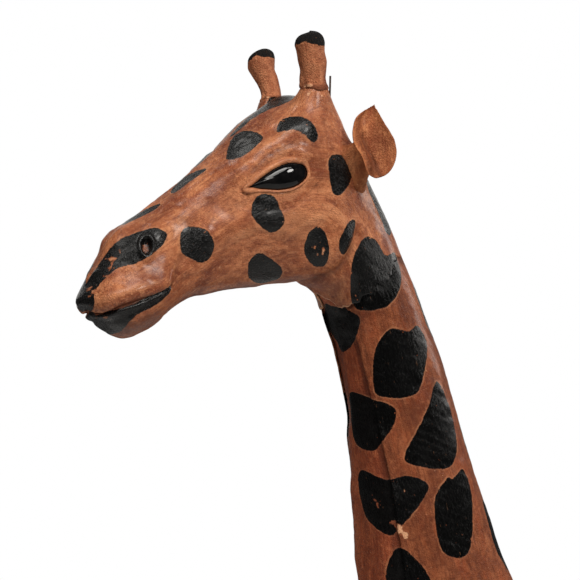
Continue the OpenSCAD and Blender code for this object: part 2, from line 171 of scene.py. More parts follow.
HASH_PRIMES = np.array((73856093, 19349663, 83492791))
HASH_SEED, HASH_LAST = 2654435, 1274126177


def lattice_noise(points, size, seed):
    """Smooth noise from -1 to 1 with features about size apart."""
    q = np.asarray(points, float) / size + 100.37 * (seed + 1)
    base = np.floor(q).astype(np.int64)
    f = q - base
    f = f * f * (3 - 2 * f)
    total = 0
    for corner in range(8):
        pick = np.array([(corner >> k) & 1 for k in range(3)])
        mixed = np.bitwise_xor.reduce((base + pick) * HASH_PRIMES, axis=-1) ^ (seed * HASH_SEED)
        mixed = (mixed ^ (mixed >> 13)) * HASH_LAST & 0x7FFFFFFF
        value = (mixed % 65536) / 32767.5 - 1
        total = total + value * np.prod(np.where(pick == 1, f, 1 - f), axis=-1)
    return total


def head_neck_points(u, theta):
    """Points of the head and neck. theta: 0 right side, 90 top, 180 left side, 270 below."""
    r = catmull(HEAD_NECK, u)
    s, c = np.sin(np.radians(theta)), np.cos(np.radians(theta))
    s = np.sign(s) * np.abs(s) ** BOX_POWER
    c = np.sign(c) * np.abs(c) ** BOX_POWER
    x = (r[..., 0] + r[..., 2]) / 2 + (r[..., 0] - r[..., 2]) / 2 * s
    z = (r[..., 1] + r[..., 3]) / 2 + (r[..., 1] - r[..., 3]) / 2 * s
    y = r[..., 4] * c * (1 + r[..., 5] * s)
    return stacked(x, y, z)


STEP_ROWS, STEP_DEGREES = 0.03, 1.0      # how far apart the points are that give a slope


def head_neck_normals(u, theta):
    u, theta = np.broadcast_arrays(np.asarray(u, float), np.asarray(theta, float))
    along = (head_neck_points(u + STEP_ROWS, theta)
             - head_neck_points(np.maximum(u - STEP_ROWS, 0), theta))
    around = (head_neck_points(u, theta + STEP_DEGREES)
              - head_neck_points(u, theta - STEP_DEGREES))
    return unit(np.cross(around, along))


def ring_points(rows, at, theta):
    """Points of a leg: rows are z, x, y, half depth, half width."""
    r = catmull(rows, at)
    s, c = np.sin(np.radians(theta)), np.cos(np.radians(theta))
    return stacked(r[..., 1] + r[..., 3] * s, r[..., 2] + r[..., 4] * c, r[..., 0] + 0 * s)


def grid_normals(p, wrap=True):
    """Outward normals of a grid whose rows run along the part and columns round it."""
    along = np.gradient(p, axis=0)
    if wrap:
        around = np.roll(p, -1, 1) - np.roll(p, 1, 1)
    else:
        around = np.gradient(p, axis=1)
    return unit(np.cross(around, along))


# ---------------------------------------------------------------- the hide unrolled, in mm

LAST_ROW = len(HEAD_NECK) - 1
TABLE_STEP, TABLE_DEGREES = 0.25, 2      # spacing of the table's rows and of its places round


def hide_tables():
    """Rows, the length along the hide to each, and distances round it from the side's middle."""
    u = np.arange(0, LAST_ROW + 1e-6, TABLE_STEP)
    deg = np.arange(-180, 181, float(TABLE_DEGREES))
    around = head_neck_points(u[:, None], 180 + deg[None, :])
    steps = np.linalg.norm(np.diff(around, axis=1), axis=2)
    arc = np.concatenate([np.zeros((len(u), 1)), np.cumsum(steps, axis=1)], axis=1)
    middle = (head_neck_points(u, 90.0) + head_neck_points(u, 270.0)) / 2
    length = np.cumsum(np.linalg.norm(np.diff(middle, axis=0), axis=1))
    return u, np.concatenate([[0], length]), arc - arc[:, [len(deg) // 2]]


TABLE_ROWS, LENGTH_TABLE, ARC_TABLE = hide_tables()


def length_at(u):
    return np.interp(u, TABLE_ROWS, LENGTH_TABLE)


def row_at(length):
    return np.interp(length, LENGTH_TABLE, TABLE_ROWS)


def arc_at(u, deg):
    """Distance round the hide from the middle of a side; deg is negative upwards."""
    fu = np.clip(np.asarray(u, float) / TABLE_STEP, 0, ARC_TABLE.shape[0] - 1.001)
    fd = np.clip((np.asarray(deg, float) + 180) / TABLE_DEGREES, 0, ARC_TABLE.shape[1] - 1.001)
    i, j = np.floor(fu).astype(int), np.floor(fd).astype(int)
    a, b = fu - i, fd - j
    t = ARC_TABLE
    return ((t[i, j] * (1 - b) + t[i, j + 1] * b) * (1 - a)
            + (t[i + 1, j] * (1 - b) + t[i + 1, j + 1] * b) * a)


def wrap180(deg):
    return (np.asarray(deg, float) + 180) % 360 - 180


def left_hide(u, theta):
    """Places in mm on the unrolled hide, from the middle of the left side."""
    return stacked(length_at(u), arc_at(u, wrap180(theta - 180)))


def right_hide(u, theta):
    return stacked(length_at(u), arc_at(u, wrap180(-theta)))


def on_hide(places):
    """Places as (row, degrees from the side's middle) in mm on the unrolled hide."""
    p = np.array(places, float)
    return stacked(length_at(p[:, 0]), arc_at(p[:, 0], p[:, 1]))


def path_distance(q, path):
    """Distance from the points q to a broken line on the hide."""
    best = np.full(q.shape[:-1], 1e9)
    for a, b in zip(path[:-1], path[1:]):
        d = b - a
        t = np.clip(((q - a) @ d) / max(d @ d, 1e-9), 0, 1)
        best = np.minimum(best, np.linalg.norm(q - a - t[..., None] * d, axis=-1))
    return best


def closed_curve(points, per=6):
    """A smooth closed curve through the points."""
    n = len(points)
    t = np.arange(0, n, 1 / per)
    i = np.floor(t).astype(int)
    return spline(*(points[(i + k) % n] for k in (-1, 0, 1, 2)), (t - i)[:, None])


def inside_distance(q, loop, margin=12):
    """Distance to a closed curve, positive inside it; far points are left at -99."""
    out = np.full(q.shape[0], -99.0)
    low, high = loop.min(0) - margin, loop.max(0) + margin
    near = np.where(((q > low) & (q < high)).all(1))[0]
    if len(near) == 0:
        return out
    p = q[near]
    best = path_distance(p, np.concatenate([loop, loop[:1]]))
    odd = np.zeros(len(p), bool)
    for a, b in zip(loop, np.roll(loop, -1, 0)):
        if a[1] != b[1]:
            cross = (a[1] > p[:, 1]) != (b[1] > p[:, 1])
            odd ^= cross & (p[:, 0] < (b[0] - a[0]) * (p[:, 1] - a[1]) / (b[1] - a[1]) + a[0])
    out[near] = np.where(odd, best, -best)
    return out


# ---------------------------------------------------------------- painted patches

# Patches of the left side as (row, degrees below the side's middle), in the order of a loop.
PATCHES = {
    "forehead": [(10.3, -60), (10.8, -77), (11.3, -76), (11.7, -55), (11.8, -44), (11.1, -41),
                 (10.5, -47)],
    "brow": [(12.4, -43), (12.7, -50), (13.2, -45), (13.9, -34), (14.2, -27), (13.9, -24),
             (13.2, -33),
             (12.7, -38)],
    "temple": [(14.8, -13), (15.4, -20), (16.2, -24), (16.8, -23), (16.6, -9), (15.9, 1),
               (15.3, 1)],
    "under_eye": [(11.5, -4), (12.2, 0), (12.6, 8), (12.9, 18), (12.5, 23), (11.9, 18), (11.3, 7),
                  (11.2, 0)],
    "muzzle": [(7.8, -13), (8.2, -14), (9.1, 0), (9.5, 12), (9.5, 23), (9.0, 26), (8.3, 14),
               (7.8, 1)],
    "jaw": [(11.7, 46), (12.1, 39), (13.1, 48), (13.7, 59), (13.6, 71), (12.9, 77), (12.0, 63)],
    "cheek": [(14.4, 28), (14.8, 23), (15.5, 26), (16.3, 37), (16.5, 49), (15.4, 51), (14.5, 41)],
    "behind_cheek": [(16.8, 22), (17.3, 9), (18.0, 5), (18.3, 16), (18.0, 31), (17.1, 30)],
    "neck_top": [(19.0, 25), (19.3, 4), (20.3, -8), (21.2, -14), (21.7, -34), (22.4, -27),
                 (22.6, 5),
                 (21.8, 36), (20.9, 49), (19.8, 42)],
    "throat_top": [(20.0, 96), (20.7, 66), (21.8, 45), (22.4, 51), (23.0, 72), (23.3, 98),
                   (21.8, 104)],
    "neck_2": [(25.1, 50), (23.8, 38), (23.4, 14), (23.9, -6), (24.0, -24), (24.6, -29),
               (25.2, -12),
               (25.8, 5), (25.6, 42)],
    "throat_2": [(25.3, 92), (25.6, 58), (26.2, 29), (27.1, 54), (27.3, 70), (26.9, 92)],
    "neck_3": [(25.7, -24), (26.4, 0), (27.5, 31), (27.8, 12), (27.8, -10), (27.3, -27),
               (26.5, -36)],
    "throat_3": [(27.9, 88), (28.1, 54), (28.0, 30), (28.3, 14), (29.1, 37), (29.6, 54), (29.5, 68),
                 (29.2, 84), (28.6, 92)],
    "neck_4": [(28.1, -3), (28.1, -9), (27.9, -26), (28.6, -26), (29.9, -5), (29.9, 14),
               (28.7, 12)],
    "throat_4": [(29.9, 46), (30.1, 58), (30.7, 66), (31.4, 56), (31.3, 30), (30.5, 27)],
    "nape_top": [(18.6, -32), (20.2, -33), (20.9, -32), (21.2, -50), (20.4, -75), (19.0, -82),
                 (18.3, -60)],
    "nape_2": [(22.9, -56), (23.6, -48), (24.5, -50), (24.9, -66), (24.2, -84), (23.0, -78)],
    "nape_3": [(26.3, -58), (27.3, -50), (27.9, -60), (27.6, -80), (26.6, -84)],
    "nape_4": [(28.7, -48), (29.8, -42), (30.4, -56), (29.9, -78), (28.9, -74)],
}
# Bands painted on both sides alike.
NOSE_BAND = [(7.0, -20), (6.6, -33), (5.9, -44), (4.5, -58), (3.0, -74), (2.0, -80), (1.3, -92),
             (0.5, -95), (0.2, -20), (0.2, 60), (1.2, 84), (1.2, 45), (1.2, -9), (2.0, -28),
             (2.7, -31), (3.5, -27), (4.2, -21), (5.2, -14), (6.3, -14)]
MOUTH_BAND = [(7.2, 27), (6.4, 23), (5.1, 21), (4.0, 22), (3.2, 27), (2.4, 38), (1.6, 75),
              (1.4, 96),
              (3.5, 96), (3.9, 78), (4.1, 58), (4.4, 43), (5.1, 36), (6.5, 37), (7.0, 34)]
BRIDGE_STRIPS = [
    [(5.2, -82), (5.7, -77), (6.4, -70), (7.1, -65), (7.2, -72), (6.5, -88), (5.6, -92)],
    [(8.0, -70), (8.7, -67), (9.4, -65), (9.4, -74), (8.8, -90), (8.0, -84)],
    [(11.0, -94), (11.8, -92), (12.6, -90), (13.3, -87), (13.8, -82), (14.5, -84), (14.8, -98),
     (14.2, -112), (13.2, -108), (12.2, -101), (11.3, -100)],
]
# Where paint has flaked off on the left: path of places, half width in mm.
FLAKES = [
    ([(15.15, 36.5), (15.3, 41), (15.7, 42), (15.95, 37)], 0.5), ([(15.75, 38), (15.8, 40.5)], 0.9),
    ([(3.3, -60), (3.5, -50), (3.75, -42)], -0.1), ([(3.5, -40), (3.0, -36), (2.7, -33)], 0.0),
    ([(4.3, -52), (4.2, -40)], -0.3), ([(1.25, -62), (1.2, -45)], 0.0),
    ([(1.3, -30), (0.9, -16)], 0.0),
    ([(2.0, 70), (2.1, 57), (2.6, 52)], 0.3), ([(29.3, 50), (29.55, 43)], 2.6),
    ([(28.6, 70.5), (28.85, 66)], 0.8), ([(28.3, 38), (28.5, 36)], 0.2),
]
NOSE_TIP_ROW = 1.35         # the tip of the nose is black as far as this row
RIGHT_SEED = 11
RIGHT_THROAT_END = 66       # the throat's patches stop here on the right, deg


def patch_loops(side):
    """Loops of one side on its unrolled hide; the right side's are each a little different."""
    rng = np.random.default_rng(RIGHT_SEED)
    loops = []
    for name, places in PATCHES.items():
        if side == "right" and name in ("throat_2", "throat_3"):
            places = [(row, min(deg, RIGHT_THROAT_END)) for row, deg in places]
        loop = on_hide(places)
        if side == "right":
            mid = loop.mean(0)
            turn = math.radians(rng.uniform(-16, 16))
            grow = rng.uniform(0.88, 1.1, 2)
            shift = rng.uniform(-2.5, 2.5, 2)
            rot = np.array([[math.cos(turn), -math.sin(turn)], [math.sin(turn), math.cos(turn)]])
            loop = ((loop - mid) * grow) @ rot.T + mid + shift
        loops.append(closed_curve(loop))
    for places in [NOSE_BAND, MOUTH_BAND] + BRIDGE_STRIPS:
        loops.append(closed_curve(on_hide(places)))
    return loops


LEFT_LOOPS, RIGHT_LOOPS = patch_loops("left"), patch_loops("right")


def flake_distance(left):
    """How far places on the left side's hide are from flaked paint, mm."""
    torn = lattice_noise(stacked(left[..., 0], left[..., 1], 0), 2.0, 12)
    near = np.min([path_distance(left, on_hide(path)) - half for path, half in FLAKES], axis=0)
    return near + 0.4 - 1.7 * torn


def head_neck_paint(u, theta, margin=12):
    """How far inside a painted patch each place is, in mm; -99 beyond the margin."""
    u, theta = np.broadcast_arrays(u, theta)
    shape = u.shape
    u, theta = u.ravel(), theta.ravel()
    best = (NOSE_TIP_ROW - u) * 7
    left = left_hide(u, theta)
    for q, loops in ((left, LEFT_LOOPS), (right_hide(u, theta), RIGHT_LOOPS)):
        for loop in loops:
            best = np.maximum(best, inside_distance(q, loop, margin))
    return np.minimum(best, 0.45 * flake_distance(left)).reshape(shape)


# ---------------------------------------------------------------- relief of the head

EYE = [(10.85, -13.4), (11.2, -15.2), (11.6, -16.7), (12.2, -17.8), (12.82, -17), (13.35, -13.6),
       (13.68, -9.2), (13.76, -4.6), (13.5, -1.6), (13.05, -0.4), (12.4, -1.6), (11.6, -6.6)]
NOSTRIL = (5.8, -24)
# Name: path of places, width mm, height mm (below 0 is a groove).
RELIEF = {
    "brow_ridge": ([(10.8, -30), (11.6, -35), (12.6, -36), (13.5, -31)], 9, 2.7),
    "upper_lid": ([(11.2, -20), (11.8, -24), (12.5, -25), (13.2, -22), (13.7, -16)], 4.6, 1.5),
    "lid_crease": ([(11.0, -22), (11.9, -27.5), (12.7, -28), (13.5, -25)], 2.6, -0.5),
    "lower_lid": ([(11.2, -6.5), (11.9, 1), (12.7, 4.5), (13.5, 3.5), (14.0, -3)], 2.2, 0.55),
    "lid_fold": ([(12.0, 7), (12.8, 9.5), (13.7, 7.5), (14.3, 0)], 1.5, -0.4),
    "temple_hollow": ([(15.1, -24), (15.4, -4)], 10, -1.2),
    "cheekbone": ([(14.6, 14), (12.8, 17), (10.8, 9), (9.2, 4)], 9, 1.8),
    "cheek_hollow": ([(12.2, 38), (10.2, 28)], 12, -1.6),
    "jaw_angle": ([(14.4, 60), (15.6, 50), (16.8, 36), (17.4, 20)], 11, 2.8),
    "jaw_crease": ([(15.5, 90), (16.8, 68), (18.1, 50), (18.45, 35), (18.5, 21), (18.6, 8)],
                   4.2, -2.3),
    "upper_lip": ([(1.9, 8), (2.8, 1), (4.2, 0), (5.6, 3), (6.4, 8)], 9, 2.2),
    "lip_roll": ([(1.6, 13), (2.5, 9), (3.7, 8), (4.9, 10), (5.9, 15), (6.7, 19)], 5.2, 2.8),
    "nostril_wing": ([(5.5, -26), (6.4, -28)], 9, 2.6),
    "muzzle_waist": ([(8.0, -40), (8.15, -12), (8.0, 10)], 7, -1.2),
    "lip_corner": ([(7.3, -14), (7.7, 0), (7.7, 12), (7.6, 24), (8.1, 34)], 6, -0.9),
    "mouth": ([(7.15, 26), (6.2, 24), (4.9, 20), (3.4, 22), (2.0, 49), (1.4, 75), (1.3, 92)],
              1.4, -3.0),
    "lower_lip": ([(6.8, 33), (5.6, 31), (4.3, 33), (3.4, 46), (2.6, 66)], 3.2, -1.0),
    "ear_pad": ([(16.7, -38), (17.5, -34)], 8, 3.5),
    "nose_knob": ([(4.3, -74), (4.8, -70)], 6, 2.4),
    "nose_tip": ([(1.8, -84), (2.0, -80)], 3.0, 1.8),
    "bridge": ([(6.8, -74), (10.2, -72)], 11, -2.0),
    "forehead_rise": ([(11.9, -90), (13.3, -90)], 12, 1.6),
    "crown": ([(13.9, -90), (14.8, -90)], 11, 3.0),
    "chin": ([(4.8, 90), (6.4, 90)], 9, 2.1),
    "jaw_line": ([(10.2, 90), (12.8, 90)], 10, 1.4),
    "throat": ([(19.6, 66), (26.2, 60)], 14, -2.6),
    "nape": ([(21.3, -62), (26.4, -60)], 12, 1.2),
    "cheek_crease": ([(10.3, 23), (11.6, 21), (12.5, 24)], 1.6, -0.35),
    "cheek_fold": ([(13.2, 30), (14.1, 20), (15.0, 17)], 2.2, 0.4),
    "neck_foot": ([(28.6, 60), (30.2, 60)], 12, 1.8),
    "lip_tip": ([(2.2, 88), (3.0, 88)], 4.5, -1.6),
    "snout_fold": ([(8.0, 32), (9.2, 40)], 2.0, -0.4),
}
# Darker and redder (above 0): painted shade in creases, grooves and hollows, over the upper lids,
# under the jaw and chin and in the throat's corner, and darker over parts of the muzzle, brow and
# forehead; lighter (below 0): painted highlight on the cheek, the brow ridge and the upper lip.
# Path, width mm, tone.
SHADE_AND_HIGHLIGHTS = [
    ([(11.2, -21), (12.4, -25), (13.6, -20)], 4.0, 0.65), ([(14.3, -15), (14.5, 0)], 5, 0.4),
    ([(17.0, 68), (18.1, 45), (18.5, 21)], 5, 0.6), ([(8, 84), (12, 84), (16, 84)], 11, 0.6),
    ([(7.4, 8), (7.6, 30)], 4, 0.4), ([(12.3, 14), (14.0, 24)], 13, -0.6),
    ([(16.5, -42), (17.5, -30), (17.9, -22)], 5, 0.5),
    ([(7.5, -36), (8.2, -15), (7.9, 5)], 5, 0.45),
    ([(8.6, -32), (10.2, -14)], 9, 0.4), ([(11.6, -36), (13.0, -36)], 4, -0.5),
    ([(16.4, 10), (17.2, -8)], 7, 0.35), ([(10.6, 30), (9.0, 20)], 6, 0.35),
    ([(4.0, 64), (6.2, 60)], 11, 1.0),
    ([(14.2, -52), (15.0, -44)], 7, -0.4), ([(2.3, 34), (3.3, 21), (4.8, 17), (6.4, 20)], 3.2, 0.8),
    ([(2.4, 8), (3.8, 3), (5.2, 5), (6.0, 9)], 3.5, -0.5), ([(13.4, -62), (14.6, -62)], 9, 0.4),
    ([(4.6, -10), (6.0, -3), (7.0, 2)], 7, 0.4), ([(11.4, -30), (13.4, -30)], 6, 0.3),
    ([(17.5, 82), (19.0, 76), (20.6, 70)], 9, 0.5),
]
SHADE_AND_HIGHLIGHT_PATHS = [(on_hide(path), width, shade_and_tone) for path, width, shade_and_tone in SHADE_AND_HIGHLIGHTS]
RELIEF_PATHS = {k: (on_hide(v[0]), v[1], v[2]) for k, v in RELIEF.items()}
EYE_LOOP = closed_curve(on_hide(EYE), 10)
EYE_SINK = 4.5             # depth of the eye's socket, mm
CONE_BLEND = 2.2           # how softly the cone round a horn's foot meets the crown, mm
FAR_BROW = on_hide([(10.3, -45), (11.1, -46)])     # the right brow stands out more than the left


def horn_axis(side):
    tilt, lean = math.radians(side * HORN_SPLAY), math.radians(HORN_LEAN)
    return np.array((-math.sin(lean) * math.cos(tilt), math.sin(tilt),
                     math.cos(tilt) * math.cos(lean)))


def from_horn(points, side):
    """Places from a horn's foot, their height along its axis and distance from the axis."""
    axis = horn_axis(side)
    rel = points - HORN_BASE * (1, side, 1)
    along = rel @ axis
    return rel, along, np.linalg.norm(rel - along[..., None] * axis, axis=-1)


def folded(u, theta):
    """Places on the unrolled hide, measured alike on both sides."""
    left, right = wrap180(theta - 180), wrap180(-theta)
    deg = np.where(np.abs(left) <= np.abs(right), left, right)
    return stacked(length_at(u), arc_at(u, deg))


def nostril_distance(q):
    """How far places on the hide are from the nostril's middle, less along its height."""
    centre = on_hide([NOSTRIL])[0]
    return np.hypot(q[..., 0] - centre[0], (q[..., 1] - centre[1]) / 1.35)


def head_neck_surface(u, theta, offset=0.0):
    """Finished surface of head and neck with its relief, and the relief's height."""
    u, theta = np.broadcast_arrays(np.asarray(u, float), np.asarray(theta, float))
    base = head_neck_points(u, theta)
    normal = head_neck_normals(u, theta)
    q = folded(u, theta)
    height = np.zeros(u.shape)
    for path, width, tall in RELIEF_PATHS.values():
        height += tall * bell(path_distance(q, path), width)
    height = np.where(height > 0, height * (0.15 + 0.85 * smoothstep(0.8, 3.6, u)), height)
    height += 4.2 * bell(path_distance(right_hide(u, theta), FAR_BROW), 6)
    away = nostril_distance(q)
    height += 1.5 * bell(away - 4.6, 1.3) - 3.2 * smoothstep(4.1, 2.3, away)
    eye = inside_distance(q.reshape(-1, 2), EYE_LOOP).reshape(u.shape)
    height -= EYE_SINK * smoothstep(-0.3, 1.0, eye)
    height += 0.9 * bell(eye + 0.9, 0.8)
    # hand-stretched leather is never quite even
    calm = smoothstep(0.5, 3, u)
    height += calm * 0.5 * lattice_noise(base, 26, 3) + calm * 0.18 * lattice_noise(base, 8, 4)
    # long fine wrinkles that run with the hide
    grain = stacked(q[..., 0] * 0.09, base[..., 1], (base[..., 2] + 0.4 * base[..., 0]) * 0.9)
    height += calm * 0.16 * lattice_noise(grain, 2.4, 6)
    # a low ridge down the nape
    nape = bell(np.minimum(np.abs(wrap180(theta - 90)), 60), 9)
    height += 2.2 * nape * smoothstep(19, 22, u)
    points = base + normal * (height + offset)[..., None]
    # the leather is drawn up in a cone round each horn's foot
    for side in SIDES:
        rel, along, out = from_horn(points, side)
        spread = 10.2 - 2.2 * (rel @ CAMERA_RIGHT) / np.maximum(out, 4)
        cone = 4.6 - 24 * (1 - np.exp(-np.maximum(out - 8.6, 0) / spread)) + offset
        top = CONE_BLEND * np.logaddexp(along / CONE_BLEND, cone / CONE_BLEND)
        reach = smoothstep(38, 26, out) * smoothstep(-32, -10, along)
        points = points + horn_axis(side) * ((top - along) * reach)[..., None]
    return points, height


# ---------------------------------------------------------------- meshes

def link_object(name, data):
    obj = bpy.data.objects.new(name, data)
    bpy.context.scene.collection.objects.link(obj)
    return obj


def edit(obj):
    bm = bmesh.new()
    bm.from_mesh(obj.data)
    return bm


def keep_edit(bm, obj):
    bm.to_mesh(obj.data)
    bm.free()


def object_from(bm, name):
    obj = link_object(name, bpy.data.meshes.new(name))
    keep_edit(bm, obj)
    return obj


def set_layers(mesh, layers):
    """Per-vertex values, one number or three, that the materials read by name."""
    for key, values in layers.items():
        values = np.asarray(values, float)
        vector = values.ndim > 1
        layer = mesh.attributes.new(key, "FLOAT_VECTOR" if vector else "FLOAT", "POINT")
        layer.data.foreach_set("vector" if vector else "value", values.ravel())


def set_points(mesh, points):
    mesh.vertices.foreach_set("co", (points * MM).ravel())


def new_mesh(name, points, faces, layers=None):
    """A mesh object from points in mm, with named per-vertex layers."""
    mesh = bpy.data.meshes.new(name)
    points = np.asarray(points, float).reshape(-1, 3)
    faces = np.asarray(faces, np.int32)
    mesh.vertices.add(len(points))
    set_points(mesh, points)
    mesh.loops.add(faces.size)
    mesh.loops.foreach_set("vertex_index", faces.ravel())
    mesh.polygons.add(len(faces))
    mesh.polygons.foreach_set("loop_start", np.arange(0, faces.size, faces.shape[1]))
    mesh.update(calc_edges=True)
    mesh.shade_smooth()
    set_layers(mesh, layers or {})
    mesh.validate()
    return link_object(name, mesh)


def grid_faces(rows, columns, wrap):
    across = columns if wrap else columns - 1
    i, j = np.meshgrid(np.arange(rows - 1), np.arange(across), indexing="ij")
    k = (j + 1) % columns
    a, b = i * columns + j, i * columns + k
    c, d = (i + 1) * columns + k, (i + 1) * columns + j
    return stacked(a, b, c, d).reshape(-1, 4)


def rim_faces(rows, columns, wrap, close_start):
    """Faces that join a grid's open edges to those of the same grid inside it."""
    hop = rows * columns
    last = hop - columns
    edge = np.arange(columns)
    here, after = (edge, (edge + 1) % columns) if wrap else (edge[:-1], edge[1:])
    faces = [stacked(here + last, after + last, after + last + hop, here + last + hop)]
    if not close_start:
        faces.append(stacked(after, here, here + hop, after + hop))
    if not wrap:
        down = np.arange(rows - 1) * columns
        step = down + columns
        end = columns - 1
        faces.append(stacked(down, step, step + hop, down + hop))
        faces.append(stacked(step + end, down + end, down + end + hop, step + end + hop))
    return faces


def grid_object(name, points, layers=None, wrap=True, rim=0.0, closed_ends=2):
    """A skin from a grid in mm. rim is its thickness, where it has one, with its edges closed.

    closed_ends is how many of the first row and the last are filled in."""
    rows, columns = points.shape[:2]
    layers = {k: np.asarray(v).reshape(rows * columns, -1).squeeze()
              for k, v in (layers or {}).items()}
    faces = grid_faces(rows, columns, wrap)
    shell = points.reshape(-1, 3)
    ends = [range(columns)] if closed_ends else []
    if rim:
        faces = np.concatenate([faces, faces[:, ::-1] + rows * columns]
                               + rim_faces(rows, columns, wrap, closed_ends > 0))
        inner = points - grid_normals(points, wrap) * rim
        shell = np.concatenate([shell, inner.reshape(-1, 3)])
        layers = {k: np.concatenate([v, v]) for k, v in layers.items()}
        ends += [range(rows * columns, (rows + 1) * columns)] if closed_ends else []
    if closed_ends > 1:
        ends.append(range((rows - 1) * columns, rows * columns))
    obj = new_mesh(name, shell, faces, layers)
    if ends:
        bm = edit(obj)
        bm.verts.ensure_lookup_table()
        for ring in ends:
            bm.faces.new([bm.verts[k] for k in ring]).smooth = True
        fill_and_face(bm)
        keep_edit(bm, obj)
    return obj


def fill_and_face(bm):
    """Splits the many-sided ends and turns every face outwards."""
    bmesh.ops.triangulate(bm, faces=[f for f in bm.faces if len(f.verts) > 4])
    bmesh.ops.recalc_face_normals(bm, faces=bm.faces)


def sharpen(obj, degrees):
    obj.data.set_sharp_from_angle(angle=math.radians(degrees))


def finish_piece(obj, material, node):
    obj.data.materials.append(material)
    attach(obj, "root")
    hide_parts(node)


# ---------------------------------------------------------------- materials

def linear(red, green, blue):
    """A screen colour, 0 to 255, as the linear colour that shaders use."""
    out = []
    for v in (red, green, blue):
        v = v / 255
        out.append(v / 12.92 if v <= 0.04045 else ((v + 0.055) / 1.055) ** 2.4)
    return (*out, 1.0)


class Surface:
    """A procedural material, built up from its nodes."""

    def __init__(self, name, **constants):
        self.material = bpy.data.materials.new(name)
        self.material.use_nodes = True
        self.tree = self.material.node_tree
        self.tree.nodes.clear()
        output = self.node("OutputMaterial")
        self.shader = self.node("BsdfPrincipled", **constants)
        self.tree.links.new(self.shader.outputs[0], output.inputs[0])
        self.place = self.node("TexCoord").outputs["Object"]

    def node(self, kind, **inputs):
        node = self.tree.nodes.new("ShaderNode" + kind)
        for key, value in inputs.items():
            self.put(node.inputs[key.replace("_", " ")], value)
        return node

    def put(self, socket, value):
        if isinstance(value, bpy.types.NodeSocket):
            self.tree.links.new(value, socket)
        else:
            socket.default_value = value

    def set(self, key, value):
        self.put(self.shader.inputs[key], value)

    def layer(self, name, vector=False):
        node = self.node("Attribute")
        node.attribute_name = name
        return node.outputs["Vector" if vector else "Fac"]

    def math(self, how, *values):
        node = self.node("Math")
        node.operation = how
        for socket, value in zip(node.inputs, values):
            self.put(socket, value)
        return node.outputs[0]

    def add(self, a, b):
        return self.math("ADD", a, b)

    def less(self, a, b):
        return self.math("SUBTRACT", a, b)

    def times(self, a, b):
        return self.math("MULTIPLY", a, b)

    def step(self, value, low, high, out_low=0.0, out_high=1.0):
        node = self.node("MapRange", Value=value, From_Min=low, From_Max=high, To_Min=out_low,
                         To_Max=out_high)
        node.interpolation_type = "SMOOTHSTEP"
        return node.outputs["Result"]

    def scaled(self, vector, scale):
        node = self.node("VectorMath")
        node.operation = "MULTIPLY"
        self.put(node.inputs[0], vector)
        self.put(node.inputs[1], scale)
        return node.outputs[0]

    def noise(self, vector, scale, detail=3.0, rough=0.55, distortion=0.0):
        return self.node("TexNoise", Vector=vector, Scale=scale, Detail=detail, Roughness=rough,
                         Distortion=distortion).outputs["Fac"]

    def cracks(self, vector, scale):
        node = self.node("TexVoronoi", Vector=vector, Scale=scale)
        node.feature = "DISTANCE_TO_EDGE"
        return node.outputs["Distance"]

    def mix(self, factor, a, b):
        node = self.node("Mix")
        node.data_type = "RGBA"
        colours = [s for s in node.inputs if s.type == "RGBA"]
        for socket, value in zip([node.inputs[0]] + colours, (factor, a, b)):
            self.put(socket, value)
        return [s for s in node.outputs if s.type == "RGBA"][0]

    def tint(self, colour, mask, amount, other):
        """Some of another colour where the mask is."""
        return self.mix(self.times(mask, amount), colour, other)

    def bump(self, height, depth, **after):
        return self.node("Bump", Distance=depth, Height=height, **after).outputs[0]


# Shared colours.
BLACK = linear(11, 10, 10)
BLACK_WORN = linear(38, 34, 30)
EDGE_HALO = linear(196, 138, 98)
RAW_EDGE = linear(214, 160, 122)
RED_STAIN = linear(142, 66, 36)


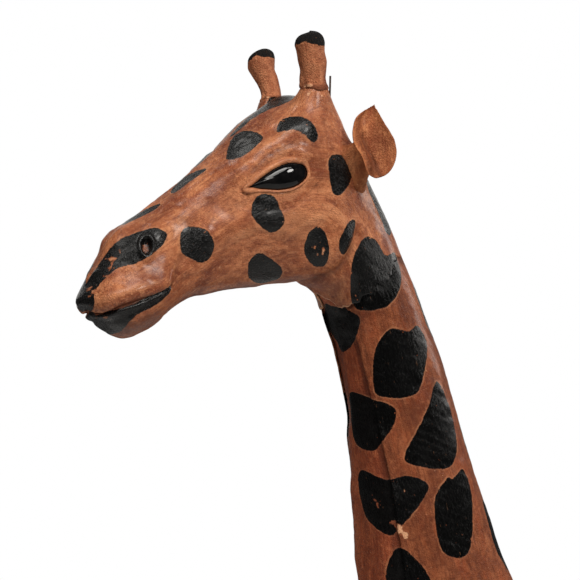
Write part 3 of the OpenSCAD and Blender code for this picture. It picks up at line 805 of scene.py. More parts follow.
def leather_surface(name, mid, dark, light, black=(11, 10, 10), worn_black=(38, 34, 30),
                    streak=0.5, coat=0.25, rough=0.46, painted=True, black_rough=0.3, gloss=0.2,
                    calm=0.5):
    """Stretched, lacquered hide with brushed stain, painted shade in its creases, painted highlight
    on its ridges and, where painted, black patches.

    Colours are on a scale of 0 to 255. calm is how much the paint fills the leather's grain."""
    mid, dark, light = linear(*mid), linear(*dark), linear(*light)
    black, worn_black = linear(*black), linear(*worn_black)
    m = Surface(name, Specular_IOR_Level=gloss, Coat_Weight=coat, Coat_Roughness=0.22, Coat_IOR=1.4)
    hide = m.layer("hide", True)
    brushed = m.noise(m.scaled(hide, (0.012, 0.20, 0.20)), 3.2, 5.0, 0.62, 0.6)
    fine_lines = m.noise(m.scaled(hide, (0.05, 0.9, 0.9)), 2.0, 4.0, 0.6)
    blotch = m.noise(m.scaled(hide, (0.022, 0.045, 0.045)), 1.0, 4.0, 0.62, 0.5)
    red = m.noise(m.scaled(hide, (0.016, 0.075, 0.075)), 1.0, 5.0, 0.62, 0.8)
    grime = m.noise(m.place, 75.0, 5.0, 0.7, 0.8)
    mottle = m.noise(m.place, 170.0, 6.0, 0.68)
    grain = m.noise(m.place, 360.0, 4.0, 0.7)
    speck = m.noise(m.place, 520.0, 2.0, 0.6)
    pore = m.noise(m.place, 800.0, 3.0, 0.6)
    colour = m.mix(m.step(blotch, 0.34, 0.60), dark, mid)
    # from which value of a noise to which a colour comes in, and how much of it
    for noise, low, high, amount, other in (
            (blotch, 0.52, 0.70, 0.6, light), (brushed, 0.52, 0.74, 0.5, light),
            (brushed, 0.50, 0.34, streak, dark), (red, 0.50, 0.66, 0.52, RED_STAIN),
            (mottle, 0.52, 0.70, 0.36, light), (mottle, 0.47, 0.33, 0.44, dark),
            (fine_lines, 0.52, 0.68, 0.05 + streak * 0.3, light),
            (grain, 0.53, 0.68, 0.40, light), (grain, 0.47, 0.34, 0.45, dark),
            (grime, 0.50, 0.36, 0.42, dark), (speck, 0.40, 0.30, 0.45, dark)):
        colour = m.tint(colour, m.step(noise, low, high), amount, other)
    # painted shade darkens the hide in creases, hollows and under other parts, and painted
    # highlight lightens it on ridges; the layer also holds tone that differs at random
    shade_and_tone = m.layer("shade_and_tone")
    shade_colour = m.mix(0.62, dark, linear(60, 28, 18))
    colour = m.mix(m.step(shade_and_tone, 0.12, 1.1, 0.0, 0.72), colour, shade_colour)
    colour = m.mix(m.step(shade_and_tone, -0.1, -0.9, 0.0, 0.45), colour, light)
    # pin pricks and small pale flecks of bare hide
    fleck = m.step(m.noise(m.place, 420.0, 2.0, 0.5), 0.735, 0.775)
    colour = m.tint(colour, fleck, 0.6, RAW_EDGE)
    raw = m.layer("raw")
    colour = m.mix(m.step(m.add(raw, m.times(mottle, 0.8)), 0.85, 1.25), colour, RAW_EDGE)
    roughness = m.step(mottle, 0.3, 0.7, rough - 0.07, rough + 0.1)
    if painted:
        ragged = m.less(m.noise(m.place, 260.0, 4.0, 0.65), 0.5)
        wander = m.less(m.noise(m.place, 60.0, 2.0, 0.5), 0.5)
        dab = m.less(m.noise(m.scaled(hide, (0.25, 1.6, 1.6)), 1.0, 3.0, 0.6), 0.5)
        edge = m.add(m.layer("paint"), m.times(ragged, 1.9))
        edge = m.add(edge, m.times(wander, 2.0))
        edge = m.add(edge, m.times(dab, 0.9))
        inside = m.step(edge, -0.18, 0.22)
        halo = m.times(m.step(edge, -1.5, -0.45), m.step(edge, 0.1, -0.2))
        halo = m.times(halo, m.step(wander, 0.0, 0.12, 0.08, 0.34))
        colour = m.mix(halo, colour, EDGE_HALO)
        worn = m.noise(m.scaled(hide, (0.35, 0.9, 0.9)), 0.9, 6.0, 0.72)
        near_edge = m.step(edge, 3.0, 0.2)
        chip = m.add(m.noise(m.place, 340.0, 3.0, 0.6), m.times(near_edge, 0.045))
        chip = m.step(chip, 0.715, 0.745)
        scratch = m.step(m.noise(m.scaled(hide, (0.10, 2.4, 2.4)), 1.0, 2.0, 0.5), 0.735, 0.77)
        paint = m.mix(m.step(worn, 0.48, 0.74, 0.0, 0.75), black, worn_black)
        paint = m.tint(paint, scratch, 0.30, EDGE_HALO)
        keep = m.times(inside, m.less(1.0, m.times(chip, 0.85)))
        colour = m.mix(keep, colour, paint)
        paint_rough = m.step(worn, 0.35, 0.7, black_rough - 0.06, black_rough + 0.16)
        roughness = m.add(m.times(roughness, m.less(1.0, inside)), m.times(inside, paint_rough))
        strokes = m.noise(m.scaled(hide, (0.16, 0.8, 0.8)), 1.0, 4.0, 0.6)
        strokes = m.times(strokes, inside)
        film = m.add(m.times(m.step(edge, -0.6, 0.6), 0.3), strokes)
        film = {"Normal": m.bump(film, 0.0006)}
    else:
        film = {}
        inside = 0.0
    m.set("Base Color", colour)
    m.set("Roughness", roughness)
    crackle = m.cracks(m.place, 620.0)
    relief = m.times(m.step(crackle, 0.0, 0.22), 0.35)
    for noise, depth in ((pore, 0.45), (mottle, 1.1), (fine_lines, 0.7)):
        relief = m.add(relief, m.times(noise, depth))
    relief = m.times(relief, m.less(1.0, m.times(inside, calm)))
    m.set("Normal", m.bump(relief, 0.00065, **film))
    return m.material


def wood_surface(name, mid, dark):
    m = Surface(name, Roughness=0.62, Specular_IOR_Level=0.3)
    along = m.scaled(m.place, (9.0, 9.0, 1.0))
    rings = m.noise(along, 14.0, 4.0, 0.6, 1.4)
    fibre = m.noise(m.scaled(m.place, (1.0, 1.0, 0.06)), 900.0, 3.0, 0.6)
    colour = m.mix(m.step(rings, 0.38, 0.62), dark, mid)
    colour = m.tint(colour, m.step(fibre, 0.5, 0.7), 0.4, dark)
    m.set("Base Color", colour)
    m.set("Normal", m.bump(fibre, 0.0003))
    return m.material


def eye_surface(name):
    m = Surface(name, Specular_IOR_Level=0.26)
    haze = m.noise(m.place, 120.0, 3.0, 0.6)
    dust = m.step(m.noise(m.place, 700.0, 2.0, 0.5), 0.72, 0.78)
    colour = m.mix(m.step(haze, 0.4, 0.75), linear(6, 6, 7), linear(22, 20, 20))
    m.set("Base Color", m.mix(m.times(dust, 0.25), colour, linear(120, 110, 100)))
    m.set("Roughness", m.step(haze, 0.35, 0.7, 0.04, 0.10))
    return m.material


def black_surface(name, sheen_rough=0.4, strands=False):
    m = Surface(name, Specular_IOR_Level=0.35, Coat_Weight=0.25, Coat_Roughness=0.2)
    worn = m.noise(m.place, 90.0, 6.0, 0.7)
    fibre = m.noise(m.scaled(m.place, (1.0, 1.0, 0.08)), 700.0, 4.0, 0.6)
    colour = m.mix(m.step(worn, 0.45, 0.75), BLACK, BLACK_WORN)
    chip = m.step(m.noise(m.place, 260.0, 3.0, 0.6), 0.72, 0.75)
    colour = m.tint(colour, chip, 0.7, linear(150, 104, 66))
    if strands:
        colour = m.tint(colour, m.step(fibre, 0.5, 0.68), 0.5, linear(58, 42, 30))
    m.set("Base Color", colour)
    m.set("Roughness", m.step(worn, 0.3, 0.7, sheen_rough - 0.06, sheen_rough + 0.12))
    m.set("Normal", m.bump(m.add(fibre, worn), 0.0005))
    return m.material


def steel_surface(name):
    m = Surface(name, Metallic=0.85)
    rust = m.noise(m.place, 600.0, 5.0, 0.7)
    m.set("Base Color", m.mix(m.step(rust, 0.42, 0.62), linear(96, 88, 82), linear(74, 44, 28)))
    m.set("Roughness", m.step(rust, 0.3, 0.7, 0.32, 0.75))
    m.set("Normal", m.bump(rust, 0.0001))
    return m.material


HEAD_HIDE = leather_surface("head_hide", (180, 107, 67), (114, 54, 30), (216, 148, 103),
                            (7, 7, 7), (28, 25, 23), streak=0.62, coat=0.3, black_rough=0.24,
                            calm=0.7)
NECK_HIDE = leather_surface("neck_hide", (134, 73, 44), (92, 45, 27), (166, 101, 67),
                            (4, 4, 4), (12, 11, 10), streak=0.8, coat=0.22, black_rough=0.22,
                            gloss=0.10, calm=0.85)
BODY_HIDE = leather_surface("body_hide", (140, 78, 48), (96, 48, 29), (170, 105, 71),
                            (8, 7, 7), (20, 18, 16), streak=0.7, coat=0.14, gloss=0.14, calm=0.8)
STRIP_HIDE = leather_surface("strip_hide", (164, 82, 49), (114, 52, 31), (190, 114, 76),
                             (6, 5, 5), (13, 12, 11), streak=0.9, coat=0.14, gloss=0.13, calm=0.85)
HORN_HIDE = leather_surface("horn_hide", (188, 117, 80), (128, 68, 43), (214, 148, 108),
                            worn_black=(52, 36, 26), streak=0.4, coat=0.0, rough=0.6,
                            black_rough=0.7, gloss=0.14, calm=0.3)
EAR_HIDE = leather_surface("ear_hide", (190, 117, 74), (130, 70, 42), (216, 146, 98), streak=0.4,
                           coat=0.05, rough=0.58, painted=False, gloss=0.14)
TAIL_HIDE = leather_surface("tail_hide", (110, 62, 40), (70, 36, 24), (146, 92, 62), streak=0.6,
                            painted=False)
GLASS = eye_surface("glass")
HOOF_BLACK = black_surface("hoof_black", 0.34)
TUFT_BLACK = black_surface("tuft_black", 0.5, strands=True)
STEEL = steel_surface("wire_steel")
CORE_WOOD = wood_surface("core_wood", linear(190, 152, 104), linear(150, 112, 70))
DOWEL_WOOD = wood_surface("dowel_beech", linear(206, 172, 126), linear(176, 138, 92))


# ---------------------------------------------------------------- head and neck leather

def hide_layer(u, theta, points):
    """Length along the hide, y, and height up from the middle line, in mm, to place streaks."""
    r = catmull(HEAD_NECK, u)
    half = np.hypot(r[..., 0] - r[..., 2], r[..., 1] - r[..., 3]) / 2
    return stacked(length_at(u), points[..., 1], half * np.sin(np.radians(theta)))


# Angle round from the right side and row, down one side, of the torn edge of the head's leather.
HEAD_EDGE = np.array([(90, 22.0), (131, 21.9), (155, 21.8), (180, 21.75), (199, 21.3), (224, 21.0),
                      (234, 20.95), (254, 20.3), (260, 19.7), (267, 18.9), (270, 18.7)], float)
# Row and angle of the seam along the neck's left side.
SEAM = np.array([(18, 243), (22.8, 240), (24.4, 239), (25.6, 236), (26.7, 233), (27.5, 230),
                 (28.1, 229), (33.4, 225)], float)


def head_edge(theta):
    """Row where the torn edge of the head's leather lies."""
    deg = np.abs(wrap180(theta - 90)) + 90
    edge = np.interp(deg, HEAD_EDGE[:, 0], HEAD_EDGE[:, 1])
    ring = np.radians(np.asarray(theta, float))
    spot = stacked(np.cos(ring), np.sin(ring), ring * 0)
    return edge + 0.20 * lattice_noise(spot, 0.16, 21) + 0.12 * lattice_noise(spot, 0.05, 22)


def seam_degrees(u):
    return np.interp(u, SEAM[:, 0], SEAM[:, 1])


FIRST_ROW, HEAD_ROWS = 0.1, 21.9     # where the head's leather starts, and how far it goes
EVEN_PART = 0.80                     # of it in even rows; the rest reach back to the torn edge
PLAIN_RIM = 1.3                      # mm; how thick a skin shows at its open edge


def build_head():
    """The skin of the head, torn along its edge behind the jaw."""
    rows, columns = 300, 264
    theta = ring_degrees(columns)
    edge = head_edge(theta)
    t = np.linspace(0, 1, rows)[:, None]
    start = FIRST_ROW + EVEN_PART * HEAD_ROWS
    tail = np.clip((t - EVEN_PART) / (1 - EVEN_PART), 0, 1)
    u = np.where(t < EVEN_PART, FIRST_ROW + t * HEAD_ROWS, start + tail * (edge - start))
    th = np.broadcast_to(theta, u.shape)
    sides = smoothstep(45, 90, np.abs(wrap180(th - 90)))
    lift = (0.1 + 0.3 * sides) * smoothstep(0.9, 0.1, edge - u)
    points, height = head_neck_surface(u, th, lift)
    curl = smoothstep(1.0, 0.0, edge - u) * sides * (0.3 + 0.4 * lattice_noise(points, 9, 31))
    points = points + grid_normals(points) * curl[..., None]
    raw = 0.75 * smoothstep(0.25, 0.02, edge - u) * sides
    for side in SIDES:
        ring = bell(from_horn(points, side)[2] - 10.6, 3.0) * (points[..., 2] > 1190)
        raw = np.maximum(raw, ring * 0.8 * smoothstep(0.1, 0.6, lattice_noise(points, 2.6, 33)))
    # painted shade in the creases and painted highlight on the ridges
    blurred = height.copy()
    for _ in range(6):
        blurred = (np.roll(blurred, 1, 1) + np.roll(blurred, -1, 1) + 2 * blurred) / 4
        blurred[1:-1] = (blurred[2:] + blurred[:-2] + 2 * blurred[1:-1]) / 4
    shade_and_tone = (blurred - height) * 1.5
    raw = np.maximum(raw, 0.62 * smoothstep(0.9, -0.3, flake_distance(left_hide(u, th))))
    q = folded(u, th)
    hole = smoothstep(3.5, 2.5, nostril_distance(q))
    # painted shade and painted highlight from the table of them
    for path, width, tint in SHADE_AND_HIGHLIGHT_PATHS:
        shade_and_tone = shade_and_tone + tint * bell(path_distance(q, path), width)
    paint = head_neck_paint(u, th) * (1 - hole) + 0.02 * hole
    # painted shade deep in the nostril
    layers = {"paint": paint, "shade_and_tone": shade_and_tone + hole, "hide": hide_layer(u, th, points), "raw": raw}
    obj = grid_object("head_leather", points, layers, rim=PLAIN_RIM, closed_ends=1)
    finish_piece(obj, HEAD_HIDE, "head_skin")


def build_carved(part, first, last, rows, depth):
    """The carved wood of the head or neck, some depth inside the surface of its leather."""
    u = np.linspace(first, last, rows)[:, None]
    points, _ = head_neck_surface(u, ring_degrees(84), -depth)
    finish_piece(grid_object(part + "_wood", points), CORE_WOOD, part + "_core")


NECK_GIRTH = 230     # round the neck about half way down, mm
STRIP_TUCK = 7       # how far the throat's strip reaches under the wrap, degrees


def neck_sheet(first, last, rows, columns, edges):
    """A sheet down the neck between two edges: its rows, places across from 0 to 1, angles,
    and distance from the nearer edge in mm."""
    u = np.linspace(first, last, rows)[:, None] * np.ones((1, columns))
    w = np.linspace(0, 1, columns)[None, :]
    start, end = edges(seam_degrees(u))
    away = np.minimum(w, 1 - w) * (end - start) / 360 * NECK_GIRTH
    return u, w, start + (end - start) * w, away


def build_neck():
    """The wrap of leather over the back and sides of the neck, open under the throat."""
    u, w, theta, away = neck_sheet(18.3, 33.12, 300, 216, lambda seam: (180 - seam, seam))
    ragged = 0.9 * lattice_noise(stacked(length_at(u), w * 10, w * 0), 7, 41)
    theta = theta + np.where(w > 0.5, 1, -1) * ragged * smoothstep(6, 0, away)
    edge = head_edge(theta)
    tucked = 0.5 + smoothstep(45, 90, np.abs(wrap180(theta - 90)))
    lift = -tucked * smoothstep(0.55, -0.15, u - edge) + 0.75 * smoothstep(5.5, 0.5, away)
    lift = lift + 0.6 * smoothstep(32.7, 33.05, u)
    points, _ = head_neck_surface(u, theta, lift)
    # painted shade where the wrap runs under the head's torn edge
    shade_and_tone = -0.25 * lattice_noise(points, 12, 44) + 1.2 * smoothstep(0.5, 0.05, u - edge)
    raw = smoothstep(1.6, 0.2, away) * 0.55
    raw = np.maximum(raw, 0.8 * smoothstep(0.9, -0.3, flake_distance(left_hide(u, theta))))
    layers = {"paint": neck_paint(u, theta, points), "shade_and_tone": shade_and_tone,
              "hide": hide_layer(u, theta, points), "raw": raw}
    obj = grid_object("neck_leather", points, layers, wrap=False, rim=1.2, closed_ends=0)
    finish_piece(obj, NECK_HIDE, "neck_wrap")


def build_strip():
    """The darker strip under the throat, whose edges lie below those of the wrap."""
    u, _, theta, away = neck_sheet(17.9, 33.0, 240, 64,
                                   lambda seam: (seam - STRIP_TUCK, 540 - (seam - STRIP_TUCK)))
    edge = head_edge(theta)
    points, _ = head_neck_surface(u, theta, -0.9 - 0.8 * smoothstep(0.4, -0.2, u - edge))
    # painted shade under the head's edge and along the strip's sides, which run under the wrap
    shade_and_tone = 0.5 * lattice_noise(points, 14, 46) + smoothstep(0.5, 0.05, u - edge)
    shade_and_tone += 1.1 * smoothstep(4, 0, away - 8)
    layers = {"paint": neck_paint(u, theta, points), "shade_and_tone": shade_and_tone,
              "hide": hide_layer(u, theta, points), "raw": u * 0}
    obj = grid_object("throat_leather", points, layers, wrap=False, rim=0.85, closed_ends=0)
    finish_piece(obj, STRIP_HIDE, "throat_strip")


# ---------------------------------------------------------------- patches of body and legs

BATCH = 4000            # places worked on at a time, to save memory
NEIGHBOURS = 8          # seeds that can bound a patch
CORNER_SOFTNESS = 4.0   # how round the patches' corners are, mm


def cell_paint(points):
    """How far inside its rounded patch each place is, in mm."""
    flat = points.reshape(-1, 3)
    out = np.empty(len(flat))
    for at in range(0, len(flat), BATCH):
        p = flat[at:at + BATCH]
        gap2 = ((p[:, None, :] - SEEDS[None]) ** 2).sum(-1)
        order = np.argpartition(gap2, NEIGHBOURS, axis=1)[:, :NEIGHBOURS]
        order = np.take_along_axis(order, np.argsort(np.take_along_axis(gap2, order, 1), 1), 1)
        first = order[:, :1]
        near = np.take_along_axis(gap2, order, 1)
        span = np.linalg.norm(SEEDS[order[:, 1:]] - SEEDS[first], axis=-1)
        reach = (near[:, 1:] - near[:, :1]) / (2 * span)
        edge = -CORNER_SOFTNESS * np.log(np.exp(-reach / CORNER_SOFTNESS).sum(1))
        out[at:at + BATCH] = edge - SEED_GAPS[first[:, 0]]
    return out.reshape(points.shape[:-1])


def scatter_seeds(candidates, spacing, seed):
    """Some of the candidates, in a random order, no two closer than the spacing."""
    rng = np.random.default_rng(seed)
    left = candidates[rng.permutation(len(candidates))]
    room = np.array([spacing(p) for p in left])
    kept = []
    while len(left):
        kept.append(left[0])
        clear = ((left - left[0]) ** 2).sum(1) > room ** 2
        left, room = left[clear], room[clear]
    return np.array(kept)


def seed_spacing(p):
    """How far apart patches are at a place, mm: closest on the legs, widest on the barrel."""
    if p[2] < FRONT_JOINT_Z:
        return 25 + 12 * smoothstep(150, 480, p[2])
    if p[2] > 780:
        return 40
    return 46


def barrel_points(at, ring):
    r = catmull(BARREL, at)[:, None, :]
    return stacked(r[..., 0], r[..., 3] * np.cos(ring), r[..., 1] + r[..., 2] * np.sin(ring))


def gather_seeds():
    """Centres of the patches of the body, the legs and the foot of the neck."""
    u = np.linspace(30.2, 37, 70)[:, None]
    theta = (np.arange(48) * 7.5)[None, :]
    clouds = [head_neck_points(u, theta)[head_neck_paint(u, theta, 26) < -23]]
    angle = np.arange(60)[None, :] * 6.0
    ring = np.radians(angle)
    clouds.append(barrel_points(np.linspace(1, 8.6, 60), ring).reshape(-1, 3))
    for rows in (FRONT_LEG, REAR_LEG):
        leg = ring_points(rows, np.linspace(0, 10.4, 120)[:, None], angle[:, ::3])
        clouds += [leg.reshape(-1, 3), (leg * (1, -1, 1)).reshape(-1, 3)]
    for masses in (SHOULDER, THIGH):
        dense = catmull(masses, np.linspace(1, 4, 24))[:, None, :]
        for side in SIDES:
            out = stacked(dense[..., 3] * np.sin(ring), side * dense[..., 4] * 0.9,
                          dense[..., 5] * np.cos(ring))
            clouds.append((dense[..., :3] * (1, -side, 1) + out * (0.6, 1, 0.3)).reshape(-1, 3))
    return scatter_seeds(np.concatenate(clouds)[::3], seed_spacing, 7)


def from_hide(q, side):
    """Row and angle of places on the unrolled hide of one side."""
    u = row_at(q[..., 0])
    low, high = np.full(u.shape, -170.0), np.full(u.shape, 170.0)
    for _ in range(26):
        mid = (low + high) / 2
        above = arc_at(u, mid) < q[..., 1]
        low = np.where(above, mid, low)
        high = np.where(above, high, mid)
    deg = (low + high) / 2
    return u, (180 + deg if side < 0 else -deg)


MARKED_ROW, CELLS_ROW = 26, 29.4     # where marked places and scattered patches start


def marked_places():
    """Places inside the neck's own lowest patches, which keep the scattered ones off them."""
    out = []
    for side, loops in ((-1, LEFT_LOOPS), (1, RIGHT_LOOPS)):
        for loop in loops:
            mid = loop.mean(0)
            if mid[0] > length_at(MARKED_ROW):
                u, theta = from_hide(mid + 0.6 * (loop[::5] - mid), side)
                out.append(head_neck_points(u, theta))
    return np.concatenate(out)


def seeds_and_gaps():
    """Centres of all patches, and half the gap that each leaves; a marked place has no patch."""
    marked, seeds = marked_places(), gather_seeds()
    gaps = np.random.default_rng(5).uniform(4.2, 7.0, len(seeds))
    gaps = gaps * np.where(seeds[:, 2] < REAR_JOINT_Z, 0.62, 1)
    return np.concatenate([seeds, marked]), np.concatenate([gaps, np.full(len(marked), 99.0)])


SEEDS, SEED_GAPS = seeds_and_gaps()


def neck_paint(u, theta, points):
    """The neck's own patches, and below them the body's, which keep clear of them."""
    marked = head_neck_paint(u, theta)
    lower = np.minimum(cell_paint(points), -marked - 9)
    return np.maximum(marked, np.where(u > CELLS_ROW, lower, -99))


# ---------------------------------------------------------------- body

def add_to(bm, obj):
    bm.from_mesh(obj.data)
    mesh = obj.data
    bpy.data.objects.remove(obj)
    bpy.data.meshes.remove(mesh)


def applied(obj):
    """The object with its modifiers made part of its mesh."""
    graph = bpy.context.evaluated_depsgraph_get()
    mesh = bpy.data.meshes.new_from_object(obj.evaluated_get(graph))
    old = obj.data
    obj.modifiers.clear()
    obj.data = mesh
    bpy.data.meshes.remove(old)
    return obj


def fused(name, bm, voxel, smoothing):
    """One closed skin round everything in bm."""
    obj = object_from(bm, name)
    grid = obj.modifiers.new("skin", "REMESH")
    grid.mode = "VOXEL"
    grid.voxel_size = voxel * MM
    grid.use_smooth_shade = True
    soft = obj.modifiers.new("soft", "SMOOTH")
    soft.factor = 0.5
    soft.iterations = smoothing
    return applied(obj)


def mesh_arrays(mesh):
    """The mesh's points in mm and their normals."""
    co = np.empty(len(mesh.vertices) * 3)
    mesh.vertices.foreach_get("co", co)
    normal = np.empty(len(mesh.vertices) * 3)
    mesh.vertices.foreach_get("normal", normal)
    return co.reshape(-1, 3) / MM, normal.reshape(-1, 3)


def add_balls(bm, centres, radii):
    """Adds ellipsoids to bm; centres and radii are rows of three, in mm."""
    ball = bmesh.new()
    bmesh.ops.create_icosphere(ball, subdivisions=4, radius=1.0)
    template = np.array([v.co for v in ball.verts])
    faces = np.array([[v.index for v in f.verts] for f in ball.faces])
    ball.free()
    points = centres[:, None, :] + template[None] * radii[:, None, :]
    offset = (np.arange(len(centres)) * len(template))[:, None, None]
    add_to(bm, new_mesh("part", points, (faces[None] + offset).reshape(-1, 3)))


def body_solid():
    """Barrel, foot of the neck, shoulders and thighs in one skin."""
    bm = bmesh.new()
    barrel = barrel_points(np.linspace(0, len(BARREL) - 1, 60), np.radians(ring_degrees(64)))
    add_to(bm, grid_object("part", barrel))
    u = np.linspace(NECK_JOINT - 0.7, LAST_ROW, 40)[:, None]
    add_to(bm, grid_object("part", head_neck_points(u, ring_degrees(64))))
    for masses in (SHOULDER, THIGH):
        chain = catmull(masses, np.linspace(0, len(masses) - 1, 5 * (len(masses) - 1) + 1))
        for side in SIDES:
            add_balls(bm, chain[:, :3] * (1, -side, 1), chain[:, 3:])
    return fused("body", bm, 2.6, 9)


def cut(bm, point, normal, only=None):
    """Cuts away what lies beyond a plane, among the faces that only picks."""
    faces = [f for f in bm.faces if only is None or only(f.calc_center_median())]
    geom = set(faces)
    for f in faces:
        geom.update(f.edges)
        geom.update(f.verts)
    bmesh.ops.bisect_plane(bm, geom=list(geom), plane_co=point, plane_no=normal, clear_outer=True)


def trim_joints(bm, inside):
    """Cuts the body off where the neck and legs join it, or that many mm inside it."""
    top, low = HEAD_NECK[NECK_JOINT][:2], HEAD_NECK[NECK_JOINT][2:4]
    way = Vector((-(top[1] - low[1]), 0, top[0] - low[0])).normalized()
    cut(bm, Vector((top[0] * MM, 0, (top[1] - inside) * MM)), way)
    down = Vector((0, 0, -1))
    cut(bm, Vector((0, 0, (FRONT_JOINT_Z + inside) * MM)), down, lambda c: c.x < LEG_SPLIT_X * MM)
    cut(bm, Vector((0, 0, (REAR_JOINT_Z + inside) * MM)), down, lambda c: c.x >= LEG_SPLIT_X * MM)


def shape_body(whole):
    """Gives the body its muscle, its wrinkles, the ridge of its back and the seam along it."""
    co, normal = mesh_arrays(whole.data)
    x, y, z = co[:, 0], np.abs(co[:, 1]), co[:, 2]
    lump = lattice_noise(co, 60, 51) + 0.45 * lattice_noise(co, 18, 52)
    lump += 0.15 * lattice_noise(co, 6, 53) + 0.2 * lattice_noise(co * (0.25, 1, 1), 4, 54)
    seam = 0.6 * bell(y - 4, 2.5) - bell(y, 1.6)
    behind_shoulder = bell(x - 62 - 0.22 * (z - 600), 9) * (y > 40)
    before_thigh = bell(x - 182 - 0.15 * (z - 560), 9) * (y > 40)
    hollow = 1.6 * behind_shoulder * smoothstep(540, 580, z) * smoothstep(700, 650, z)
    hollow += 1.6 * before_thigh * smoothstep(510, 560, z) * smoothstep(680, 630, z)
    ridge = 2.0 * bell(y, 9) * (normal[:, 2] > 0.6)
    height = lump + seam - hollow + ridge - 0.6
    set_points(whole.data, co + normal * height[:, None])
    whole.data.update()


def build_body():
    whole = body_solid()
    shape_body(whole)
    for side, name in SIDES.items():
        bm = edit(whole)
        trim_joints(bm, 0)
        cut(bm, Vector((0, side * 0.1 * MM, 0)), Vector((0, -side, 0)))
        obj = object_from(bm, "body_leather_" + name)
        wall = obj.modifiers.new("wall", "SOLIDIFY")
        wall.thickness = 1.4 * MM
        wall.offset = -1
        wall.use_even_offset = False
        applied(obj)
        obj.data.shade_smooth()
        co, _ = mesh_arrays(obj.data)
        shade_and_tone = bell(co[:, 1], 2.2) + 0.5 * lattice_noise(co, 30, 55)
        shade_and_tone += 0.8 * bell(co[:, 2] - FRONT_JOINT_Z, 3) * (co[:, 0] < LEG_SPLIT_X)
        shade_and_tone += 0.8 * bell(co[:, 2] - REAR_JOINT_Z, 3) * (co[:, 0] >= LEG_SPLIT_X)
        set_layers(obj.data, {"paint": cell_paint(co), "shade_and_tone": shade_and_tone, "hide": co, "raw": 0 * shade_and_tone})
        finish_piece(obj, BODY_HIDE, "torso_skin_" + name)
    build_body_wood(whole)
    bpy.data.objects.remove(whole)


def build_body_wood(whole):
    """The carved core, a little inside the leather and closed where the neck and legs join."""
    obj = link_object("body_wood", whole.data.copy())
    thin = obj.modifiers.new("thin", "DECIMATE")
    thin.ratio = 0.2
    applied(obj)
    co, normal = mesh_arrays(obj.data)
    set_points(obj.data, co - normal * 2.6)
    bm = edit(obj)
    trim_joints(bm, 1)
    bmesh.ops.holes_fill(bm, edges=[e for e in bm.edges if e.is_boundary], sides=0)
    bmesh.ops.triangulate(bm, faces=[f for f in bm.faces if len(f.verts) > 4])
    keep_edit(bm, obj)
    finish_piece(obj, CORE_WOOD, "torso_core")


# ---------------------------------------------------------------- legs and hooves

# Height of the knee or hock; how far it stands out in front and behind, all in mm.
JOINTS = {"front": (275, 2.2, 1.0), "rear": (292, 0.66, 3.2)}
BLACK_FOOT = 84      # below this height a leg has no patches of its own, mm


def build_leg(rows, end, side):
    knee, in_front, behind = JOINTS[end]
    theta = ring_degrees(64)
    points = ring_points(rows, np.linspace(0, len(rows) - 1.02, 210)[:, None], theta)
    z = points[..., 2]
    back = np.sin(np.radians(theta))
    out = -np.cos(np.radians(theta))
    height = 0.5 * lattice_noise(points, 20, 61) + 0.2 * lattice_noise(points, 6, 62)
    height += in_front * bell(z - knee, 16) * smoothstep(0.35, 1.0, -back)
    height += behind * bell(z - knee - 8, 12) * smoothstep(0.6, 1.0, back)
    # grooves beside the tendon, the fetlock, and the seam down the inside
    tendon = bell(np.abs(out) - 0.75, 0.22) * smoothstep(-0.1, 0.4, back)
    height -= 1.2 * tendon * smoothstep(250, 220, z) * smoothstep(80, 110, z)
    height += 1.6 * bell(z - 66, 8) * smoothstep(0.2, 1.0, back) - 0.9 * bell(z - 86, 5)
    height -= bell(wrap180(theta), 3.5)
    # creases round the leg at its joints
    for level in (knee + 16, knee - 17, 58, 78):
        height -= 0.55 * bell(z - level - 2 * lattice_noise(points, 15, 63), 1.5)
    # the leather's thicker edges at the hoof and under the body
    height += 0.9 * bell(z - 41, 2.5) + 0.5 * smoothstep(rows[0][0] - 6, rows[0][0] - 1, z)
    height = np.maximum(height, -1.2)
    points = points + grid_normals(points) * height[..., None]
    if side > 0:
        points = (points * (1, -1, 1))[:, ::-1]
        height = height[:, ::-1]
    z = points[..., 2]
    # painted shade in the grooves and painted highlight on the bulges; darker towards the hoof
    shade_and_tone = 0.4 * lattice_noise(points, 24, 65) - 0.45 * (height - 0.2)
    shade_and_tone += 0.48 * smoothstep(120, 40, z)
    paint = cell_paint(points)
    foot = z - BLACK_FOOT + 3 * lattice_noise(points, 9, 66)
    paint = np.where(z < BLACK_FOOT + 12, np.minimum(paint, foot), paint)
    layers = {"paint": paint, "shade_and_tone": shade_and_tone, "hide": points[..., [2, 1, 0]], "raw": z * 0}
    name = f"{end}_{SIDES[side]}"
    obj = grid_object("leg_leather_" + name, points, layers, rim=PLAIN_RIM, closed_ends=0)
    finish_piece(obj, BODY_HIDE, "leg_skin_" + name)


HOOF_TOP = 37.8                          # mm
HOOF_DEPTH, HOOF_WIDTH = 25.2, 20.2      # half its size on the ground, mm
HOOF_ROWS = 44
EDGE_ROWS = [0.012, 0.03, 0.97, 0.985]   # closer rows where the hoof's edges are rounded


